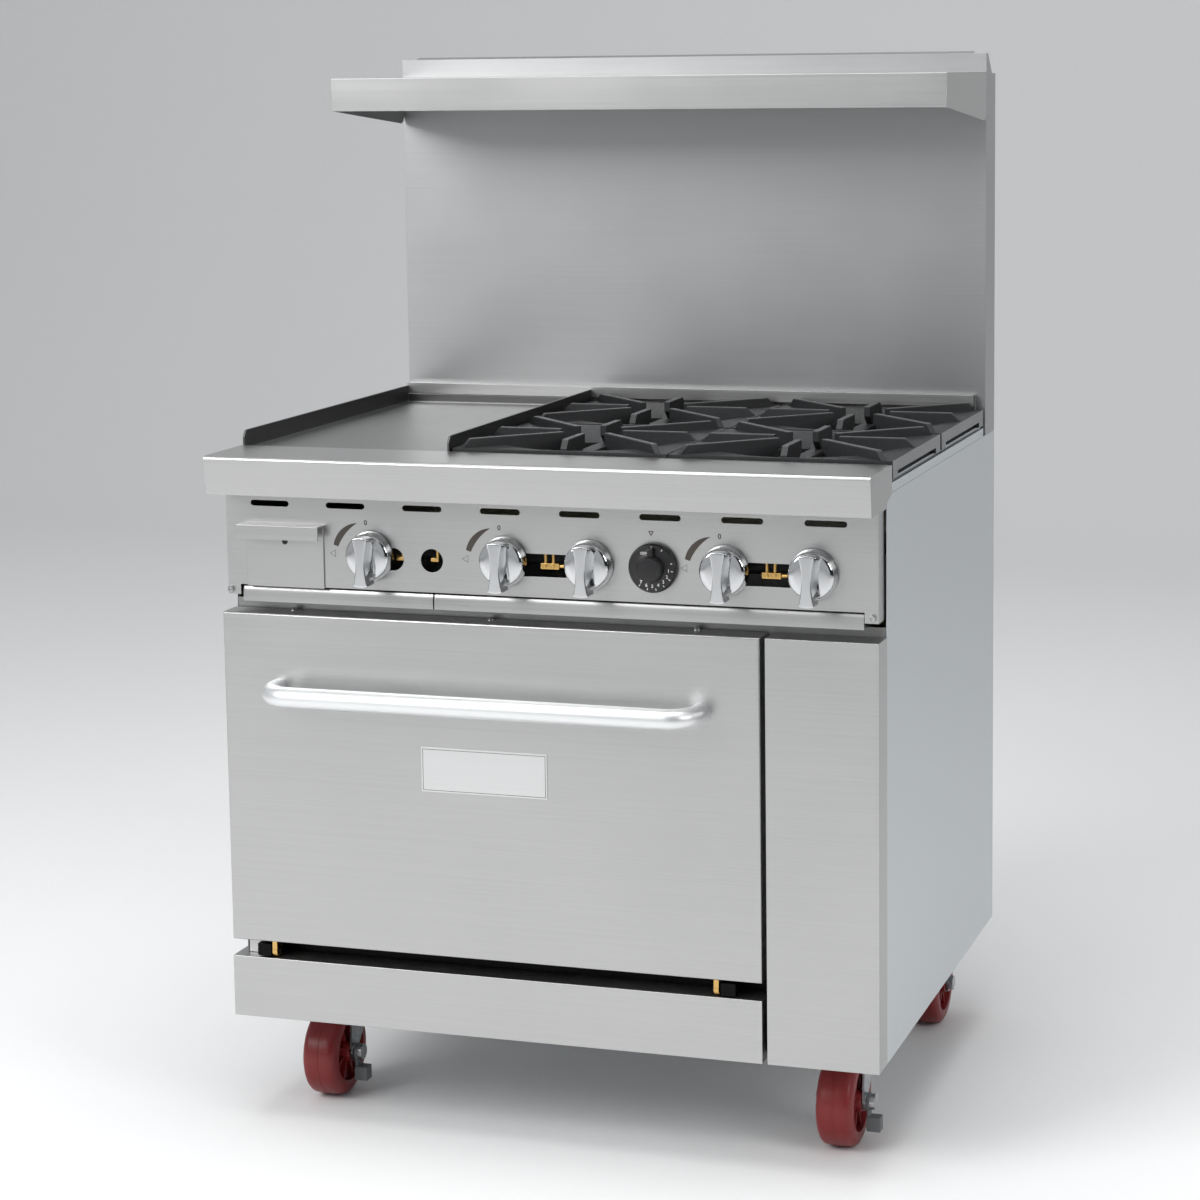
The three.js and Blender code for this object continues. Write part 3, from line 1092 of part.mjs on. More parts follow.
// A tyred wheel with a dished side and a bored hub.
function casterWheel({ x, y, trail }) {
  const half = WHEEL_WIDTH / 2;
  const hub = half + FORK_GAP - 1;
  const s = WHEEL_SHOULDER;
  const recess = WHEEL_RADIUS - WHEEL_TYRE;
  const sideProfile = [
    [AXLE_RADIUS + AXLE_CLEARANCE, hub],
    [WHEEL_HUB_RADIUS, hub],
    [WHEEL_HUB_RADIUS + 2, half - WHEEL_RECESS],
    [recess - 3, half - WHEEL_RECESS],
    [recess, half],
    [WHEEL_RADIUS - s, half],
    [WHEEL_RADIUS - 0.3 * s, half - 0.3 * s],
    [WHEEL_RADIUS, half - s],
  ];
  const mirrored = sideProfile.map(([r, h]) => [r, -h]).reverse();
  const closed = [...sideProfile, ...mirrored, sideProfile[0]];
  const lathe = new THREE.LatheGeometry(closed.map(([r, h]) => new THREE.Vector2(r, h)), WHEEL_SIDES);
  lathe.rotateY(Math.PI / WHEEL_SIDES);
  lathe.rotateZ(-Math.PI / 2);
  return solidFrom(lathe.translate(x, y + trail, AXLE_HEIGHT));
}

// The brake lever turns on the end of the axle and carries a foot pad below it.
function casterBrake({ x, y, trail }) {
  const axleY = y + trail;
  const across = [x + leverInner, x + leverOuter];
  const eye = rod([across[0], axleY, AXLE_HEIGHT], [across[1], axleY, AXLE_HEIGHT], 12, 16);
  const arm = block(across, [axleY - 7, axleY + 7], [AXLE_HEIGHT - 38, AXLE_HEIGHT - 4]);
  const pad = block([x + leverInner, x + leverInner + 19], [axleY - 9, axleY + 9],
    [AXLE_HEIGHT - 40, AXLE_HEIGHT - 20]);
  const bore = rod([across[0] - 1, axleY, AXLE_HEIGHT], [across[1] + 1, axleY, AXLE_HEIGHT],
    AXLE_RADIUS + AXLE_CLEARANCE, 16);
  return cut(join(eye, arm, pad), bore);
}

// ---------------------------------------------------------------- assembly

piece("side_panel_left", sidePanel(-1), sideSteel);
piece("side_panel_right", sidePanel(1), sideSteel);
piece("rear_panel", rearPanel(), galvanised);
piece("base_frame", baseFrame(), galvanised);
piece("front_frame", frontFrame(), stainless);
piece("kick_panel", kickPanel(), stainless);
piece("service_cover", serviceCover(), stainless);
piece("control_panel", controlPanel(), stainless);
piece("landing_ledge", landingLedge(), stainless);
piece("cooktop_frame", cooktopFrame(), sideSteel);
piece("flue_riser", flueRiser(), stainless);
piece("backguard_panel", backguardPanel(), stainless);
piece("backguard_back", backguardBack(), galvanised);
piece("overhead_shelf", overheadShelf(), stainless);
piece("griddle_plate", griddlePlate(), griddleSteel);

piece("oven_liner", ovenLiner(), blackEnamel);
piece("oven_insulation", ovenInsulation(), mineralWool);
piece("oven_deck", ovenDeck(), blackEnamel);
piece("oven_rack", ovenRack(), chrome);
piece("oven_burner", ovenBurner(), castIron);

piece("gas_manifold", gasManifold(), blackEnamel);
piece("thermostat_body", thermostatBody(), zincPlate);
piece("griddle_burner", griddleBurner(), castIron);
for (const [name, x] of Object.entries(KNOB_PLACES)) {
  piece(`valve_${name}`, gasValve(x, KNOB_BACK - 10), brass);
}
for (const grate of GRATES) {
  piece(`burner_${grate.name}`, openBurner(grate, KNOB_PLACES[grate.name]), castIron);
}

const door = new THREE.Group();
range.add(door);
piece("door_panel", doorPanel(), stainless, door);
piece("door_liner", doorLiner(), galvanised, door);
piece("door_handle", doorHandle(), polishedTube, door);
piece("hinge_arm_left", hingeArm(-1), brass, door);
piece("hinge_arm_right", hingeArm(1), brass, door);

for (const [name, x] of Object.entries(KNOB_PLACES)) piece(`knob_${name}`, knobSolid(x), chrome);
piece("thermostat_dial", thermostatDial(), blackPlastic);

piece("grease_drawer", greaseDrawer(), stainless);
const trayEdge = HALF - TRAY_SIDE_INSET;
piece("crumb_tray_left", crumbTray(-trayEdge, TRAY_SPLIT - TRAY_SPLIT_GAP / 2), stainless);
piece("crumb_tray_right", crumbTray(TRAY_SPLIT + TRAY_SPLIT_GAP / 2, trayEdge), stainless);

for (const grate of GRATES) {
  piece(`grate_${grate.name}`, grateSolid(), castIron).position.set(grate.x, grate.y, 0);
}

for (const place of casterPlaces()) {
  const caster = new THREE.Group();
  range.add(caster);
  piece(`caster_fork_${place.name}`, casterFork(place), zincPlate, caster);
  piece(`caster_wheel_${place.name}`, casterWheel(place), redTread, caster);
  if (place.brake) piece(`caster_brake_${place.name}`, casterBrake(place), greyPad, caster);
}

// The finished range stands centred over its own origin.
range.updateMatrixWorld(true);
const extent = new THREE.Box3().setFromObject(range);
range.position.y = snap(-(extent.min.y + extent.max.y) / 2);

export default range;
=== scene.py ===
"""A restaurant gas range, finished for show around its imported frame.

Each sub-assembly is a class. Its sizes are fields, its methods build the meshes, and every piece is
dressed in a finish and set to ride on the body that it belongs to. Lengths are in metres.
"""

import json
import logging
import math
import random
from dataclasses import dataclass, field
from enum import Enum
from typing import Callable, Iterable, Sequence

import bmesh
import bpy
from mathutils import Matrix, Vector


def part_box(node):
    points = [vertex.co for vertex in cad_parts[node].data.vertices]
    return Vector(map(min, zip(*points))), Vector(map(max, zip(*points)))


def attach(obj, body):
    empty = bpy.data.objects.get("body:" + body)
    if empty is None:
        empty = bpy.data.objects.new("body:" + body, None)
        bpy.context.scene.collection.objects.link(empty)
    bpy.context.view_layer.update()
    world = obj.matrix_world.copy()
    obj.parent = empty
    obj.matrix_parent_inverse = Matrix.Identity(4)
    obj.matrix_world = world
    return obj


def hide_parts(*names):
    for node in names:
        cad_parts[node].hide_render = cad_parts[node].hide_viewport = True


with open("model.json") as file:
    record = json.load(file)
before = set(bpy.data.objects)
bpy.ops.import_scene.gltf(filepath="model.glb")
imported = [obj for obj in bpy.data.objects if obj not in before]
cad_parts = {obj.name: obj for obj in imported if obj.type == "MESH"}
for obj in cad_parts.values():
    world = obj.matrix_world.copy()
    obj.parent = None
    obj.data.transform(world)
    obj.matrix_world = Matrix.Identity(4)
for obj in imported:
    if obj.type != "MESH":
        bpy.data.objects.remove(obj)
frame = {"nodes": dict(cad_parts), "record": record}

LOG = logging.getLogger("gas_range")
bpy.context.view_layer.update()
NODE_BODY: dict[str, str] = {
    node: body for body, nodes in frame["record"]["behaviour"]["bodies"].items() for node in nodes
}
NODE_SLOT: dict[str, str] = {part["node"]: part["material_slot"] for part in frame["record"]["subparts"]}
KNOBS: tuple[str, ...] = ("griddle", "left_rear", "left_front", "right_rear", "right_front")
GRATES: tuple[str, ...] = ("left_front", "left_rear", "right_front", "right_rear")
CASTERS: tuple[str, ...] = ("front_left", "front_right", "rear_left", "rear_right")


class Grain(Enum):
    """The direction or kind of fine texture that a finish carries."""

    ALONG_X = (3.0, 420.0, 760.0)
    ALONG_Y = (420.0, 3.0, 760.0)
    ALONG_Z = (700.0, 420.0, 3.0)
    CAST = (230.0, 230.0, 230.0)
    MOULDED = (520.0, 520.0, 520.0)
    PLATED = (90.0, 90.0, 90.0)
    FIBRE = (60.0, 60.0, 240.0)


class Pick(Enum):
    """What kind of element a modelling step works on."""

    VERT = "VERT"
    EDGE = "EDGE"
    FACE = "FACE"


@dataclass(frozen=True)
class Finish:
    """A surface: its base tone, how it shines, and the fine texture over it."""

    name: str
    tone: tuple[float, float, float]
    shade: tuple[float, float, float]
    roughness: tuple[float, float]
    metallic: float = 1.0
    grain: Grain = Grain.ALONG_X
    relief: float = 0.02
    cloud: float = 4.0
    coat: float = 0.0
    # A tone laid by height: painted shadow on the face frame below the door, worn metal and painted highlight
    # on the grate fin tops, and a darker griddle above z 0.9345.
    wear_and_painted_light: tuple[float, float] | None = None
    wear_and_painted_light_tone: tuple[float, float, float] = (0.3, 0.3, 0.3)
    # Painted highlight on faces past an X place, the right end faces of the grates.
    painted_side_highlight: tuple[float, float] | None = None
    painted_side_highlight_tone: tuple[float, float, float] = (0.3, 0.3, 0.3)

    def material(self) -> bpy.types.Material:
        """The finish as a material, made the first time that it is asked for.

        Returns:
            The material with its node tree.
        """
        made = bpy.data.materials.get(self.name)
        return made if made else self._build()

    def _build(self) -> bpy.types.Material:
        """Lays out the nodes: fine grain and a broad cloud drive tone, roughness and relief.

        Returns:
            The new material.
        """
        material = bpy.data.materials.new(self.name)
        material.use_nodes = True
        nodes, links = material.node_tree.nodes, material.node_tree.links
        shader = nodes["Principled BSDF"]
        shader.inputs["Metallic"].default_value = self.metallic
        shader.inputs["Coat Weight"].default_value = self.coat
        shader.inputs["Coat Roughness"].default_value = 0.12
        place = nodes.new("ShaderNodeTexCoord")
        stretch = nodes.new("ShaderNodeMapping")
        stretch.inputs["Scale"].default_value = self.grain.value
        links.new(place.outputs["Object"], stretch.inputs["Vector"])
        fine = nodes.new("ShaderNodeTexNoise")
        fine.inputs["Scale"].default_value = 1.0
        fine.inputs["Detail"].default_value = 4.0
        fine.inputs["Roughness"].default_value = 0.6
        links.new(stretch.outputs["Vector"], fine.inputs["Vector"])
        broad = nodes.new("ShaderNodeTexNoise")
        broad.inputs["Scale"].default_value = self.cloud
        broad.inputs["Detail"].default_value = 3.0
        links.new(place.outputs["Object"], broad.inputs["Vector"])
        both = nodes.new("ShaderNodeMix")
        both.data_type = "FLOAT"
        both.inputs[0].default_value = 0.45
        links.new(fine.outputs["Fac"], both.inputs[2])
        links.new(broad.outputs["Fac"], both.inputs[3])
        spread = self._ramp(nodes, links, both.outputs[0], 0.3, 0.7)
        colour = nodes.new("ShaderNodeMix")
        colour.data_type = "RGBA"
        colour.inputs[6].default_value = (*self.shade, 1.0)
        colour.inputs[7].default_value = (*self.tone, 1.0)
        links.new(spread, colour.inputs[0])
        result = colour.outputs[2]
        # Height band: painted shade and highlight on some finishes, real wear on others.
        if self.wear_and_painted_light:
            result = self._wear_and_painted_light_band(nodes, links, place, result, "Z", self.wear_and_painted_light, self.wear_and_painted_light_tone)
        # Painted highlight on the faces past an X place.
        if self.painted_side_highlight:
            result = self._wear_and_painted_light_band(nodes, links, place, result, "X", self.painted_side_highlight, self.painted_side_highlight_tone)
        links.new(result, shader.inputs["Base Color"])
        gloss = nodes.new("ShaderNodeMapRange")
        gloss.inputs["To Min"].default_value = self.roughness[0]
        gloss.inputs["To Max"].default_value = self.roughness[1]
        links.new(spread, gloss.inputs["Value"])
        links.new(gloss.outputs["Result"], shader.inputs["Roughness"])
        bump = nodes.new("ShaderNodeBump")
        bump.inputs["Strength"].default_value = self.relief
        bump.inputs["Distance"].default_value = 0.001
        links.new(fine.outputs["Fac"], bump.inputs["Height"])
        links.new(bump.outputs["Normal"], shader.inputs["Normal"])
        return material

    @staticmethod
    def _ramp(nodes: bpy.types.Nodes, links: bpy.types.NodeLinks, source: bpy.types.NodeSocket,
              low: float, high: float) -> bpy.types.NodeSocket:
        """Stretches a value so that low becomes 0 and high becomes 1.

        Args:
            nodes: The tree's nodes.
            links: The tree's links.
            source: The value to stretch.
            low: The value that becomes 0.
            high: The value that becomes 1.

        Returns:
            The stretched value's socket.
        """
        span = nodes.new("ShaderNodeMapRange")
        span.inputs["From Min"].default_value = low
        span.inputs["From Max"].default_value = high
        links.new(source, span.inputs["Value"])
        return span.outputs["Result"]

    def _wear_and_painted_light_band(self, nodes: bpy.types.Nodes, links: bpy.types.NodeLinks, place: bpy.types.Node,
              under: bpy.types.NodeSocket, axis: str, span: tuple[float, float],
              tone: tuple[float, float, float]) -> bpy.types.NodeSocket:
        """Lays another tone over the colour, growing between two places along an axis; it carries painted
        shade and painted highlights as well as real wear.

        Args:
            nodes: The tree's nodes.
            links: The tree's links.
            place: The texture coordinate node.
            under: The colour below the wear.
            axis: X, Y or Z.
            span: Where the tone starts to show and where it is full.
            tone: The tone.

        Returns:
            The mixed colour's socket.
        """
        split = nodes.new("ShaderNodeSeparateXYZ")
        links.new(place.outputs["Object"], split.inputs["Vector"])
        amount = self._ramp(nodes, links, split.outputs[axis], span[0], span[1])
        mix = nodes.new("ShaderNodeMix")
        mix.data_type = "RGBA"
        mix.inputs[7].default_value = (*tone, 1.0)
        links.new(amount, mix.inputs[0])
        links.new(under, mix.inputs[6])
        return mix.outputs[2]


STAINLESS = Finish("brushed_stainless", (0.53, 0.53, 0.525), (0.455, 0.455, 0.452), (0.28, 0.4), relief=0.03)
STAINLESS_SIDE = Finish("side_stainless", (0.40, 0.425, 0.445), (0.35, 0.372, 0.39), (0.36, 0.48),
                        grain=Grain.ALONG_Y, relief=0.03)
GUARD_STEEL = Finish("backguard_stainless", (0.46, 0.465, 0.468), (0.40, 0.405, 0.408), (0.34, 0.46),
                     relief=0.03)
GALVANISED = Finish("galvanised", (0.46, 0.48, 0.49), (0.36, 0.38, 0.39), (0.45, 0.6), grain=Grain.PLATED,
                    relief=0.05)
GRIDDLE_STEEL = Finish("griddle_plate_steel", (0.34, 0.345, 0.342), (0.27, 0.272, 0.27), (0.3, 0.45),
                       grain=Grain.ALONG_Y, relief=0.05, wear_and_painted_light=(0.9335, 0.9345), wear_and_painted_light_tone=(0.13, 0.13, 0.128))
# Painted shadow: near black below z 0.262, blending up to z 0.30, standing for the shade in the gap below the
# door.
FRAME_STEEL_PAINTED_SHADOW = Finish("face_frame_steel_painted_shadow", (0.34, 0.34, 0.34), (0.26, 0.26, 0.26), (0.4, 0.55),
                     wear_and_painted_light=(0.30, 0.262), wear_and_painted_light_tone=(0.012, 0.012, 0.012))
# Fin tops above z 0.9512 lighter: worn metal and painted highlight together. Right end faces past x 0.4561:
# painted highlight.
GRATE_IRON = Finish("grate_casting_painted_highlight", (0.021, 0.022, 0.0235), (0.012, 0.0125, 0.0135), (0.42, 0.62),
                    metallic=0.0, grain=Grain.CAST, relief=0.35, cloud=9.0, wear_and_painted_light=(0.9512, 0.9531),
                    wear_and_painted_light_tone=(0.075, 0.077, 0.08), painted_side_highlight=(0.4561, 0.4568), painted_side_highlight_tone=(0.2, 0.205, 0.21))
BURNER_IRON = Finish("burner_casting", (0.03, 0.029, 0.027), (0.018, 0.017, 0.016), (0.5, 0.7), metallic=0.0,
                     grain=Grain.CAST, relief=0.4)
ENAMEL = Finish("black_enamel", (0.012, 0.012, 0.013), (0.008, 0.008, 0.009), (0.25, 0.4), metallic=0.0,
                grain=Grain.MOULDED, relief=0.03, coat=0.3)
CHROME = Finish("knob_chrome", (0.66, 0.67, 0.68), (0.6, 0.61, 0.62), (0.04, 0.08), grain=Grain.PLATED,
                relief=0.004)
TUBE = Finish("polished_tube", (0.6, 0.605, 0.605), (0.52, 0.525, 0.53), (0.09, 0.15), relief=0.01)
BRASS = Finish("machined_brass", (0.72, 0.47, 0.17), (0.55, 0.35, 0.12), (0.22, 0.36), grain=Grain.PLATED,
               relief=0.03)
ZINC = Finish("zinc_plate", (0.5, 0.52, 0.53), (0.36, 0.38, 0.39), (0.24, 0.38), grain=Grain.PLATED,
              relief=0.03)
SCREW_STEEL = Finish("screw_steel", (0.5, 0.5, 0.5), (0.38, 0.38, 0.38), (0.22, 0.35), grain=Grain.PLATED)
BLACK_PLASTIC = Finish("dial_plastic", (0.009, 0.009, 0.01), (0.006, 0.006, 0.007), (0.28, 0.4), metallic=0.0,
                       grain=Grain.MOULDED, relief=0.03)
RED_TREAD = Finish("red_polyurethane", (0.215, 0.008, 0.009), (0.15, 0.005, 0.006), (0.3, 0.44), metallic=0.0,
                   grain=Grain.MOULDED, relief=0.05)
GREY_PAD = Finish("brake_pad", (0.16, 0.17, 0.18), (0.1, 0.11, 0.115), (0.5, 0.65), metallic=0.0,
                  grain=Grain.MOULDED, relief=0.06)
WHITE_INK = Finish("dial_ink", (0.8, 0.8, 0.79), (0.72, 0.72, 0.71), (0.4, 0.5), metallic=0.0,
                   grain=Grain.MOULDED)
BROWN_INK = Finish("panel_ink", (0.06, 0.047, 0.038), (0.045, 0.036, 0.03), (0.4, 0.5), metallic=0.0,
                   grain=Grain.MOULDED)
WOOL = Finish("mineral_wool", (0.55, 0.48, 0.26), (0.4, 0.34, 0.17), (0.85, 0.95), metallic=0.0,
              grain=Grain.FIBRE, relief=0.6)
PLATE_FACE = Finish("nameplate_face", (0.72, 0.72, 0.72), (0.66, 0.66, 0.66), (0.3, 0.4))
PLATE_INK = Finish("nameplate_border", (0.02, 0.02, 0.02), (0.015, 0.015, 0.015), (0.4, 0.5), metallic=0.0,
                   grain=Grain.MOULDED)
FLOOR = Finish("studio_floor", (0.86, 0.86, 0.86), (0.84, 0.84, 0.84), (0.6, 0.7), metallic=0.0,
               grain=Grain.PLATED, relief=0.0, cloud=0.5)

FINISH_OF_SLOT: dict[str, Finish] = {
    "stainless": STAINLESS, "side_stainless": STAINLESS_SIDE, "galvanised": GALVANISED,
    "griddle_steel": GRIDDLE_STEEL, "cast_iron": BURNER_IRON, "grate_iron": GRATE_IRON,
    "black_enamel": ENAMEL, "black_pipe": ENAMEL, "chrome": CHROME, "polished_tube": TUBE, "brass": BRASS,
    "zinc": ZINC, "black_plastic": BLACK_PLASTIC, "red_tread": RED_TREAD, "grey_pad": GREY_PAD,
    "mineral_wool": WOOL,
}


class Bench:
    """The modelling moves that every sub-assembly shares."""

    @staticmethod
    def clear() -> None:
        """Deselects every object."""
        bpy.ops.object.select_all(action="DESELECT")

    @staticmethod
    def hold(piece: bpy.types.Object) -> None:
        """Makes a piece the only selected object and the active one."""
        Bench.clear()
        piece.select_set(True)
        bpy.context.view_layer.objects.active = piece

    @staticmethod
    def settle(piece: bpy.types.Object) -> None:
        """Applies a piece's place, turn and size to its mesh."""
        Bench.hold(piece)
        bpy.ops.object.transform_apply(location=True, rotation=True, scale=True)

    @staticmethod
    def block(name: str, low: Sequence[float], high: Sequence[float]) -> bpy.types.Object:
        """Adds a cube of a given size and place.

        Args:
            name: The piece's name.
            low: Its lowest corner.
            high: Its highest corner.

        Returns:
            The piece, ready to be shaped.
        """
        Bench.clear()
        a, b = Vector(low), Vector(high)
        bpy.ops.mesh.primitive_cube_add(size=1.0, location=(a + b) / 2)
        piece = bpy.context.object
        piece.name = name
        piece.scale = b - a
        Bench.settle(piece)
        return piece

    @staticmethod
    def drum(name: str, start: Sequence[float], end: Sequence[float], radius: float,
             sides: int = 32) -> bpy.types.Object:
        """Adds a cylinder between two points.

        Args:
            name: The piece's name.
            start: The middle of one end.
            end: The middle of the other end.
            radius: Its radius.
            sides: How many sides it has.

        Returns:
            The piece, ready to be shaped.
        """
        Bench.clear()
        a, b = Vector(start), Vector(end)
        turn = (b - a).to_track_quat("Z", "Y").to_euler()
        bpy.ops.mesh.primitive_cylinder_add(vertices=sides, radius=radius, depth=(b - a).length,
                                            location=(a + b) / 2, rotation=turn)
        piece = bpy.context.object
        piece.name = name
        Bench.settle(piece)
        return piece

    @staticmethod
    def lathe(name: str, outline: Sequence[tuple[float, float]], centre: Sequence[float],
              axis: Sequence[float], steps: int = 64) -> bpy.types.Object:
        """Spins a closed outline about an axis.

        Args:
            name: The piece's name.
            outline: Points as (radius, distance along the axis), going round the section once.
            centre: A point on the axis, from which the distances count.
            axis: The axis, as a unit direction along X, Y or Z.
            steps: How many steps make the full turn.

        Returns:
            The closed piece.
        """
        Bench.clear()
        along, middle = Vector(axis), Vector(centre)
        outward = Vector((0, 0, 1)) if abs(along.z) < 0.5 else Vector((1, 0, 0))
        bpy.ops.mesh.primitive_circle_add(vertices=len(outline), radius=0.01, location=middle)
        piece = bpy.context.object
        piece.name = name
        Bench.settle(piece)
        for vertex, (radius, height) in zip(piece.data.vertices, outline):
            vertex.co = middle + along * height + outward * radius
        bpy.ops.object.mode_set(mode="EDIT")
        bpy.ops.mesh.select_all(action="SELECT")
        bpy.ops.mesh.spin(steps=steps, angle=2 * math.pi, center=middle, axis=along)
        bpy.ops.mesh.select_all(action="SELECT")
        bpy.ops.mesh.remove_doubles(threshold=1e-6)
        bpy.ops.mesh.normals_make_consistent(inside=False)
        bpy.ops.object.mode_set(mode="OBJECT")
        return piece

    @staticmethod
    def tube(name: str, points: Iterable[Sequence[float]], radius: float,
             resolution: int = 8) -> bpy.types.Object:
        """Runs a round section along a line and makes it a mesh.

        Args:
            name: The piece's name.
            points: The points of the line.
            radius: The section's radius.
            resolution: How finely the section is rounded.

        Returns:
            The closed tube.
        """
        Bench.clear()
        route = [Vector(p) for p in points]
        curve = bpy.data.curves.new(name, "CURVE")
        curve.dimensions = "3D"
        curve.bevel_depth = radius
        curve.bevel_resolution = resolution
        curve.use_fill_caps = True
        spline = curve.splines.new("POLY")
        spline.points.add(len(route) - 1)
        for point, place in zip(spline.points, route):
            point.co = (*place, 1.0)
        piece = bpy.data.objects.new(name, curve)
        bpy.context.scene.collection.objects.link(piece)
        Bench.hold(piece)
        bpy.ops.object.convert(target="MESH")
        piece = bpy.context.object
        Bench.shape(piece, Pick.FACE, lambda f: True)
        bpy.ops.mesh.remove_doubles(threshold=1e-6)
        bpy.ops.mesh.normals_make_consistent(inside=False)
        Bench.finish()
        return piece

    @staticmethod
    def shape(piece: bpy.types.Object, pick: Pick, test: Callable[[object], bool]) -> None:
        """Opens a piece for editing with the wanted elements selected.

        Args:
            piece: The piece to shape.
            pick: The kind of element.
            test: Says whether an element is wanted.
        """
        Bench.hold(piece)
        bpy.ops.object.mode_set(mode="EDIT")
        bpy.ops.mesh.select_mode(type=pick.value)
        bpy.ops.mesh.select_all(action="DESELECT")
        mesh = bmesh.from_edit_mesh(piece.data)
        for item in {Pick.VERT: mesh.verts, Pick.EDGE: mesh.edges, Pick.FACE: mesh.faces}[pick]:
            if test(item):
                item.select_set(True)
        mesh.select_flush_mode()
        bmesh.update_edit_mesh(piece.data)

    @staticmethod
    def finish() -> None:
        """Leaves edit mode."""
        bpy.ops.object.mode_set(mode="OBJECT")

    @staticmethod
    def ease(piece: bpy.types.Object, width: float, segments: int = 2, angle: float = 32.0) -> None:
        """Rounds a piece's sharp edges and smooths it.

        Args:
            piece: The piece to finish.
            width: How wide the rounding is.
            segments: How many faces make it up.
            angle: Edges sharper than this many degrees are rounded.
        """
        Bench.hold(piece)
        rounding = piece.modifiers.new("rounding", "BEVEL")
        rounding.width = width
        rounding.segments = segments
        rounding.limit_method = "ANGLE"
        rounding.angle_limit = math.radians(angle)
        bpy.ops.object.modifier_apply(modifier=rounding.name)
        bpy.ops.object.shade_smooth_by_angle(angle=math.radians(angle))
        even = piece.modifiers.new("even_normals", "WEIGHTED_NORMAL")
        even.keep_sharp = True
        bpy.ops.object.modifier_apply(modifier=even.name)

    @staticmethod
    def join(name: str, pieces: Sequence[bpy.types.Object]) -> bpy.types.Object:
        """Joins pieces into one object.

        Args:
            name: The joined piece's name.
            pieces: What to join; the first one takes in the others.

        Returns:
            The joined piece.
        """
        Bench.hold(pieces[0])
        for piece in pieces:
            piece.select_set(True)
        bpy.ops.object.join()
        pieces[0].name = name
        return pieces[0]

    @staticmethod
    def eased_node(node: str, width: float, segments: int = 2, angle: float = 32.0) -> bpy.types.Object:
        """Copies a frame node, merges the copy's corners and flat faces, and rounds its edges.

        Args:
            node: The frame node to stand for.
            width: How wide the rounding is.
            segments: How many faces make it up.
            angle: Edges sharper than this many degrees are rounded.

        Returns:
            The finished copy.
        """
        piece = bpy.data.objects.new(f"{node}_finished", frame["nodes"][node].data.copy())
        bpy.context.scene.collection.objects.link(piece)
        piece.data.materials.clear()
        Bench.shape(piece, Pick.FACE, lambda f: True)
        bpy.ops.mesh.remove_doubles(threshold=2e-6)
        bpy.ops.mesh.dissolve_limited(angle_limit=math.radians(0.4))
        Bench.finish()
        Bench.ease(piece, width, segments, angle)
        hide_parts(node)
        return piece

    @staticmethod
    def copy_to(source: bpy.types.Object, name: str, offset: Vector) -> bpy.types.Object:
        """Makes a moved copy of a piece with a mesh of its own.

        Args:
            source: The piece to copy.
            name: The copy's name.
            offset: How far to move it.

        Returns:
            The copy.
        """
        twin = bpy.data.objects.new(name, source.data.copy())
        bpy.context.scene.collection.objects.link(twin)
        twin.data.transform(Matrix.Translation(offset))
        return twin

    @staticmethod
    def dress(piece: bpy.types.Object, finish: Finish, body: str, slot: str) -> bpy.types.Object:
        """Gives a piece its finish and its body.

        Args:
            piece: The piece.
            finish: Its finish.
            body: The body that it rides on.
            slot: The record's material slot; not used.

        Returns:
            The same piece.
        """
        piece.data.materials.clear()
        piece.data.materials.append(finish.material())
        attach(piece, body)
        LOG.info("%s: %d faces on %s", piece.name, len(piece.data.polygons), body)
        return piece

    @staticmethod
    def finish_node(node: str, width: float = 0.0006, segments: int = 2, finish: Finish | None = None,
                    angle: float = 32.0) -> bpy.types.Object:
        """Shows a frame node as an eased copy in its own finish.

        Args:
            node: The frame node.
            width: How wide its edges are rounded.
            segments: How many faces make up the rounding.
            finish: A finish other than its slot's.
            angle: Edges sharper than this many degrees are rounded.

        Returns:
            The finished piece.
        """
        piece = Bench.eased_node(node, width, segments, angle)
        return Bench.dress(piece, finish or FINISH_OF_SLOT[NODE_SLOT[node]], NODE_BODY[node], NODE_SLOT[node])

    @staticmethod
    def screw(name: str, place: Sequence[float], out: Sequence[float], radius: float = 0.0045,
              height: float = 0.003) -> bpy.types.Object:
        """Models a hexagon-headed sheet-metal screw with a washer face.

        Args:
            name: The screw's name.
            place: Where the head meets the sheet.
            out: The way that the head points.
            radius: The head's radius.
            height: The head's height.

        Returns:
            The screw.
        """
        base, way = Vector(place), Vector(out)
        head = Bench.drum(name, base, base + way * height, radius, 6)
        Bench.shape(head, Pick.FACE, lambda f: f.normal.dot(way) > 0.9)
        bpy.ops.mesh.inset(thickness=radius * 0.3)
        bpy.ops.mesh.extrude_region_move(TRANSFORM_OT_translate={"value": way * (-0.25 * height)})
        Bench.finish()
        washer = Bench.drum(f"{name}_washer", base - way * 0.0002, base + way * 0.0009, radius * 1.35, 24)
        made = Bench.join(name, [head, washer])
        Bench.ease(made, 0.0003, 2)
        return made


